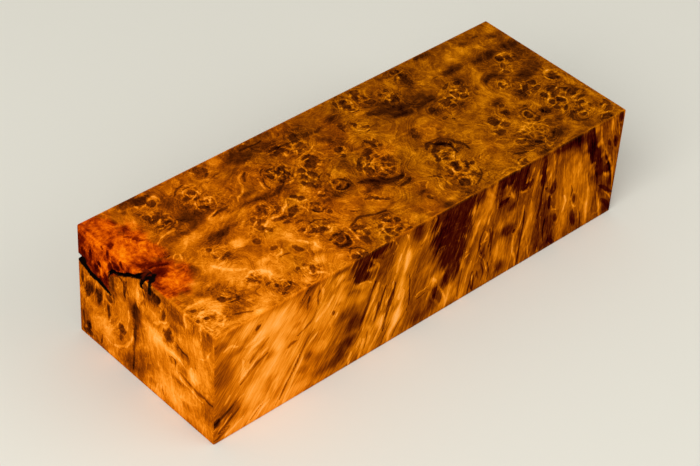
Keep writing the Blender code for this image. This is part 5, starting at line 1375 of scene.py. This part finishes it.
def fissure_cutter(name, run, to_frame, into, depth_ratio, look):
    """A ragged tapering wedge along a run on one face, which cuts into the wood."""
    shape = bmesh.new()
    points = resampled(run, look.rag_spacing)
    places = [to_frame(a, b) for a, b, _ in points]
    rings = []
    for n, (place, point) in enumerate(zip(places, points)):
        ahead = (places[min(n + 1, len(places) - 1)] - places[max(n - 1, 0)]).normalized()
        aside = ahead.cross(into).normalized()
        half = point[2] * MM
        turn = Matrix((aside, into, ahead)).transposed().to_4x4()
        stretch = Matrix.Diagonal((half, half * depth_ratio, 1.0, 1.0))
        ring = bmesh.ops.create_circle(
            shape, segments=look.ring_points, radius=1.0, matrix=Matrix.Translation(place) @ turn @ stretch
        )["verts"]
        for vert in ring:
            rag = noise.noise_vector(vert.co / (look.rag_size * MM)) * half * look.rag
            vert.co += aside * rag.dot(aside) + into * rag.dot(into)
        rings.append(ring)
    for ring, following in zip(rings, rings[1:]):
        both = set(ring) | set(following)
        edges = [e for e in shape.edges if all(v in both for v in e.verts)]
        bmesh.ops.bridge_loops(shape, edges=edges)
    for ring in (rings[0], rings[-1]):
        bmesh.ops.contextual_create(shape, geom=ring)
    bmesh.ops.recalc_face_normals(shape, faces=shape.faces)
    return mesh_object(name, shape)


def cut_away(block, cutters):
    """Cuts each cutter from the block, for good."""
    for cutter in cutters:
        modifier = block.modifiers.new(cutter.name, "BOOLEAN")
        modifier.operation = "DIFFERENCE"
        modifier.object = cutter
    graph = bpy.context.evaluated_depsgraph_get()
    mesh = bpy.data.meshes.new_from_object(block.evaluated_get(graph))
    if len(mesh.vertices) < len(block.data.vertices) * CUT_LEAVES:
        raise RuntimeError("cutting the fissure lost the block's faces")
    block.modifiers.clear()
    block.data = mesh
    for cutter in cutters:
        bpy.data.objects.remove(cutter)


def sanded_block(look, material):
    """The block's skin: the sawn box with broken edges and its fissure, in a mesh as fine as the figure."""
    shape = bmesh.new()
    bmesh.ops.create_cube(shape, size=1.0)
    bmesh.ops.scale(shape, vec=BLOCK_SIZE, verts=shape.verts)
    bmesh.ops.translate(shape, vec=(BLOCK_LOW + BLOCK_HIGH) / 2, verts=shape.verts)
    bmesh.ops.bevel(
        shape, geom=shape.edges[:], offset=look.arris, offset_type="OFFSET",
        segments=look.arris_segments, profile=0.5, affect="EDGES", material=-1, clamp_overlap=True,
    )
    for axis in range(3):
        edges = [
            e for e in shape.edges
            if abs(e.verts[0].co[axis] - e.verts[1].co[axis]) > BLOCK_SIZE[axis] * SPANNING
        ]
        cuts = round(BLOCK_SIZE[axis] / MM / look.mesh_spacing) - 1
        bmesh.ops.subdivide_edges(shape, edges=edges, cuts=cuts, use_grid_fill=True)
    block = mesh_object("burl_block_sanded", shape, material)
    along_x, along_y, along_z = Vector((1, 0, 0)), Vector((0, 1, 0)), Vector((0, 0, 1))
    runs = [
        ("end_lower", END_LOWER_RUN, lambda a, b: in_metres(0, a, b), along_x, look.fissure_depth),
        ("end_upper", END_UPPER_RUN, lambda a, b: in_metres(0, a, b), along_x, look.fissure_depth),
        ("far_side", SIDE_RUN, lambda a, b: in_metres(a, 0, b), -along_y, look.fissure_depth),
        ("top_pocket", TOP_RUN, lambda a, b: in_metres(a, b, 0), -along_z, look.pocket_depth),
    ]
    cut_away(block, [fissure_cutter(*run, look) for run in runs])
    lay_figure(block.data, look)
    block.data.shade_smooth()
    block.data.set_sharp_from_angle(angle=look.sharp_angle)
    return block


class BurlLook(bpy.types.PropertyGroup):
    """What a user would change on the block and its figure."""

    seed: bpy.props.IntProperty(
        name="Seed", description="Chooses the figure's chance wander", default=1, min=1
    )
    arris: bpy.props.FloatProperty(
        name="Arris", description="Radius that sanding left on the edges", default=0.35 * MM, unit="LENGTH"
    )
    arris_segments: bpy.props.IntProperty(
        name="Arris segments", description="Facets round each edge", default=2, min=1
    )
    mesh_spacing: bpy.props.FloatProperty(
        name="Mesh spacing", description="Millimetres between points of the skin", default=0.51, min=0.3
    )
    fissure_depth: bpy.props.FloatProperty(
        name="Fissure depth", description="Depth for each unit of half the mouth's width", default=3.2
    )
    pocket_depth: bpy.props.FloatProperty(
        name="Pocket depth", description="Depth of the pocket on the top, in the same way", default=2.0
    )
    ring_points: bpy.props.IntProperty(
        name="Ring points", description="Points round the fissure's wall", default=12
    )
    rag_spacing: bpy.props.FloatProperty(
        name="Rag spacing", description="Millimetres between sections of the fissure", default=0.5
    )
    rag_size: bpy.props.FloatProperty(
        name="Rag size", description="Millimetres from tooth to tooth", default=0.7
    )
    rag: bpy.props.FloatProperty(name="Rag", description="How ragged the fissure's lips are", default=0.55)
    sharp_angle: bpy.props.FloatProperty(
        name="Sharp angle", description="Edges turning more than this stay crisp", default=math.radians(40),
        subtype="ANGLE",
    )
    fan_height: bpy.props.FloatProperty(
        name="Fan height", description="How far above the top the bud traces meet, in millimetres",
        default=110.0,
    )
    fan_along: bpy.props.FloatProperty(
        name="Fan along", description="Where they meet, from the fissured end", default=105.0
    )
    fan_across: bpy.props.FloatProperty(
        name="Fan across", description="Where they meet, from the far side", default=22.0
    )
    wander_size: bpy.props.FloatProperty(
        name="Wander size", description="Millimetres between bends", default=14.0
    )
    wander: bpy.props.FloatProperty(
        name="Wander", description="How far the traces wander deep down, in millimetres", default=5.0
    )
    ripple_size: bpy.props.FloatProperty(
        name="Ripple size", description="Millimetres between ripples", default=2.2
    )
    ripple: bpy.props.FloatProperty(
        name="Ripple", description="Millimetres that outlines ripple", default=0.3
    )
    swell_size: bpy.props.FloatProperty(
        name="Swell size", description="Millimetres between swells of the strands", default=11.0
    )
    swell: bpy.props.FloatProperty(name="Swell", description="How high the swells are", default=4.0)
    stroke_spacing: bpy.props.FloatProperty(
        name="Stroke spacing", description="Millimetres between a drawn strand's points", default=0.7
    )
    mouth_depth: bpy.props.FloatProperty(
        name="Mouth depth", description="How deep the fissure's mouth is dark, in millimetres", default=3.0
    )
    base_tone: bpy.props.FloatProperty(name="Base tone", description="Tone of plain wood", default=0.61)
    roughness: bpy.props.FloatProperty(
        name="Roughness", description="Of the sanded resin", default=0.42, min=0, max=1
    )
    gloss: bpy.props.FloatProperty(
        name="Gloss", description="Specular level of the sanded resin", default=0.0, min=0, max=1
    )


class StudioLook(bpy.types.PropertyGroup):
    """The floor, the light and the camera."""

    floor_colour: bpy.props.FloatVectorProperty(
        name="Floor", description="Colour of the floor", default=(0.72, 0.70, 0.62, 1.0), size=4,
        subtype="COLOR",
    )
    surround: bpy.props.FloatVectorProperty(
        name="Surround", description="Colour of the light from all round", default=(0.92, 0.92, 0.90),
        size=3, subtype="COLOR",
    )
    surround_strength: bpy.props.FloatProperty(
        name="Surround strength", description="Its strength", default=0.55
    )
    key_power: bpy.props.FloatProperty(
        name="Key light", description="Power of the large soft light", default=8.0, unit="POWER"
    )
    fill_power: bpy.props.FloatProperty(
        name="Fill light", description="Power of the second soft light", default=2.5, unit="POWER"
    )
    lens: bpy.props.FloatProperty(name="Lens", description="Focal length in millimetres", default=107.4)
    roll: bpy.props.FloatProperty(
        name="Roll", description="How far the camera leans", default=math.radians(3.94), subtype="ANGLE"
    )


# In metres, but for the camera's sensor, which is in millimetres
CAMERA_PLACE = Vector((-0.2723, -0.2703, 0.3340))
CAMERA_AIM = Vector((-0.0059, -0.0029, 0.0160))
SENSOR_WIDTH = 36.0
NEAREST_SEEN = 0.01
FLOOR_SIZE = 6.0
KEY_PLACE = Vector((-0.70, -0.30, 0.70))
KEY_SIZE = 0.7
FILL_PLACE = Vector((0.45, -0.70, 0.45))
FILL_SIZE = 0.7


def soft_light(name, place, size, power):
    """A square lamp that faces the origin."""
    lamp = bpy.data.lights.new(name, "AREA")
    lamp.size = size
    lamp.energy = power
    made = bpy.data.objects.new(name, lamp)
    made.location = place
    made.rotation_euler = (-place).to_track_quat("-Z", "Y").to_euler()
    bpy.context.scene.collection.objects.link(made)


class BURL_OT_block(bpy.types.Operator):
    """Builds the sanded block with its fissure and figure"""

    bl_idname = "burl.block"
    bl_label = "Burl block"

    def execute(self, context):
        look = context.scene.burl_look
        noise.seed_set(look.seed)
        block = sanded_block(look, burl_finish(look))
        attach(block, BODY)
        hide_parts(BLOCK_NODE)
        return {"FINISHED"}


class BURL_OT_studio(bpy.types.Operator):
    """Lays the floor and sets the light and the camera"""

    bl_idname = "burl.studio"
    bl_label = "Studio"

    def execute(self, context):
        studio = context.scene.burl_studio
        shape = bmesh.new()
        bmesh.ops.create_grid(shape, x_segments=1, y_segments=1, size=FLOOR_SIZE / 2)
        floor = mesh_object("studio_floor", shape, floor_finish(studio.floor_colour))

        world = bpy.data.worlds.new("studio_surround")
        context.scene.world = world
        world.use_nodes = True
        background = world.node_tree.nodes["Background"]
        background.inputs["Color"].default_value = (*studio.surround, 1.0)
        background.inputs["Strength"].default_value = studio.surround_strength
        soft_light("key_light", KEY_PLACE, KEY_SIZE, studio.key_power)
        soft_light("fill_light", FILL_PLACE, FILL_SIZE, studio.fill_power)

        lens = bpy.data.cameras.new("camera")
        lens.sensor_width = SENSOR_WIDTH
        lens.lens = studio.lens
        lens.clip_start = NEAREST_SEEN
        camera = bpy.data.objects.new("camera", lens)
        camera.location = CAMERA_PLACE
        ahead = (CAMERA_AIM - CAMERA_PLACE).to_track_quat("-Z", "Y").to_matrix()
        lean = Matrix.Rotation(studio.roll, 3, "Z")
        camera.rotation_euler = (ahead @ lean).to_euler()
        context.scene.collection.objects.link(camera)
        context.scene.camera = camera
        context.scene.view_settings.view_transform = "Standard"
        return {"FINISHED"}


class BURL_PT_panel(bpy.types.Panel):
    bl_label = "Burl Block"
    bl_idname = "BURL_PT_panel"
    bl_space_type = "VIEW_3D"
    bl_region_type = "UI"
    bl_category = "Burl Block"

    def draw(self, context):
        for group in (context.scene.burl_look, context.scene.burl_studio):
            for name in group.__annotations__:
                self.layout.prop(group, name)
        for operator in (BURL_OT_block, BURL_OT_studio):
            self.layout.operator(operator.bl_idname)


CLASSES = (BurlLook, StudioLook, BURL_OT_block, BURL_OT_studio, BURL_PT_panel)


def register():
    for cls in CLASSES:
        bpy.utils.register_class(cls)
    bpy.types.Scene.burl_look = bpy.props.PointerProperty(type=BurlLook)
    bpy.types.Scene.burl_studio = bpy.props.PointerProperty(type=StudioLook)


def unregister():
    del bpy.types.Scene.burl_studio
    del bpy.types.Scene.burl_look
    for cls in reversed(CLASSES):
        bpy.utils.unregister_class(cls)


def main():
    register()
    bpy.ops.burl.block()
    bpy.ops.burl.studio()


if __name__ == "__main__":
    main()
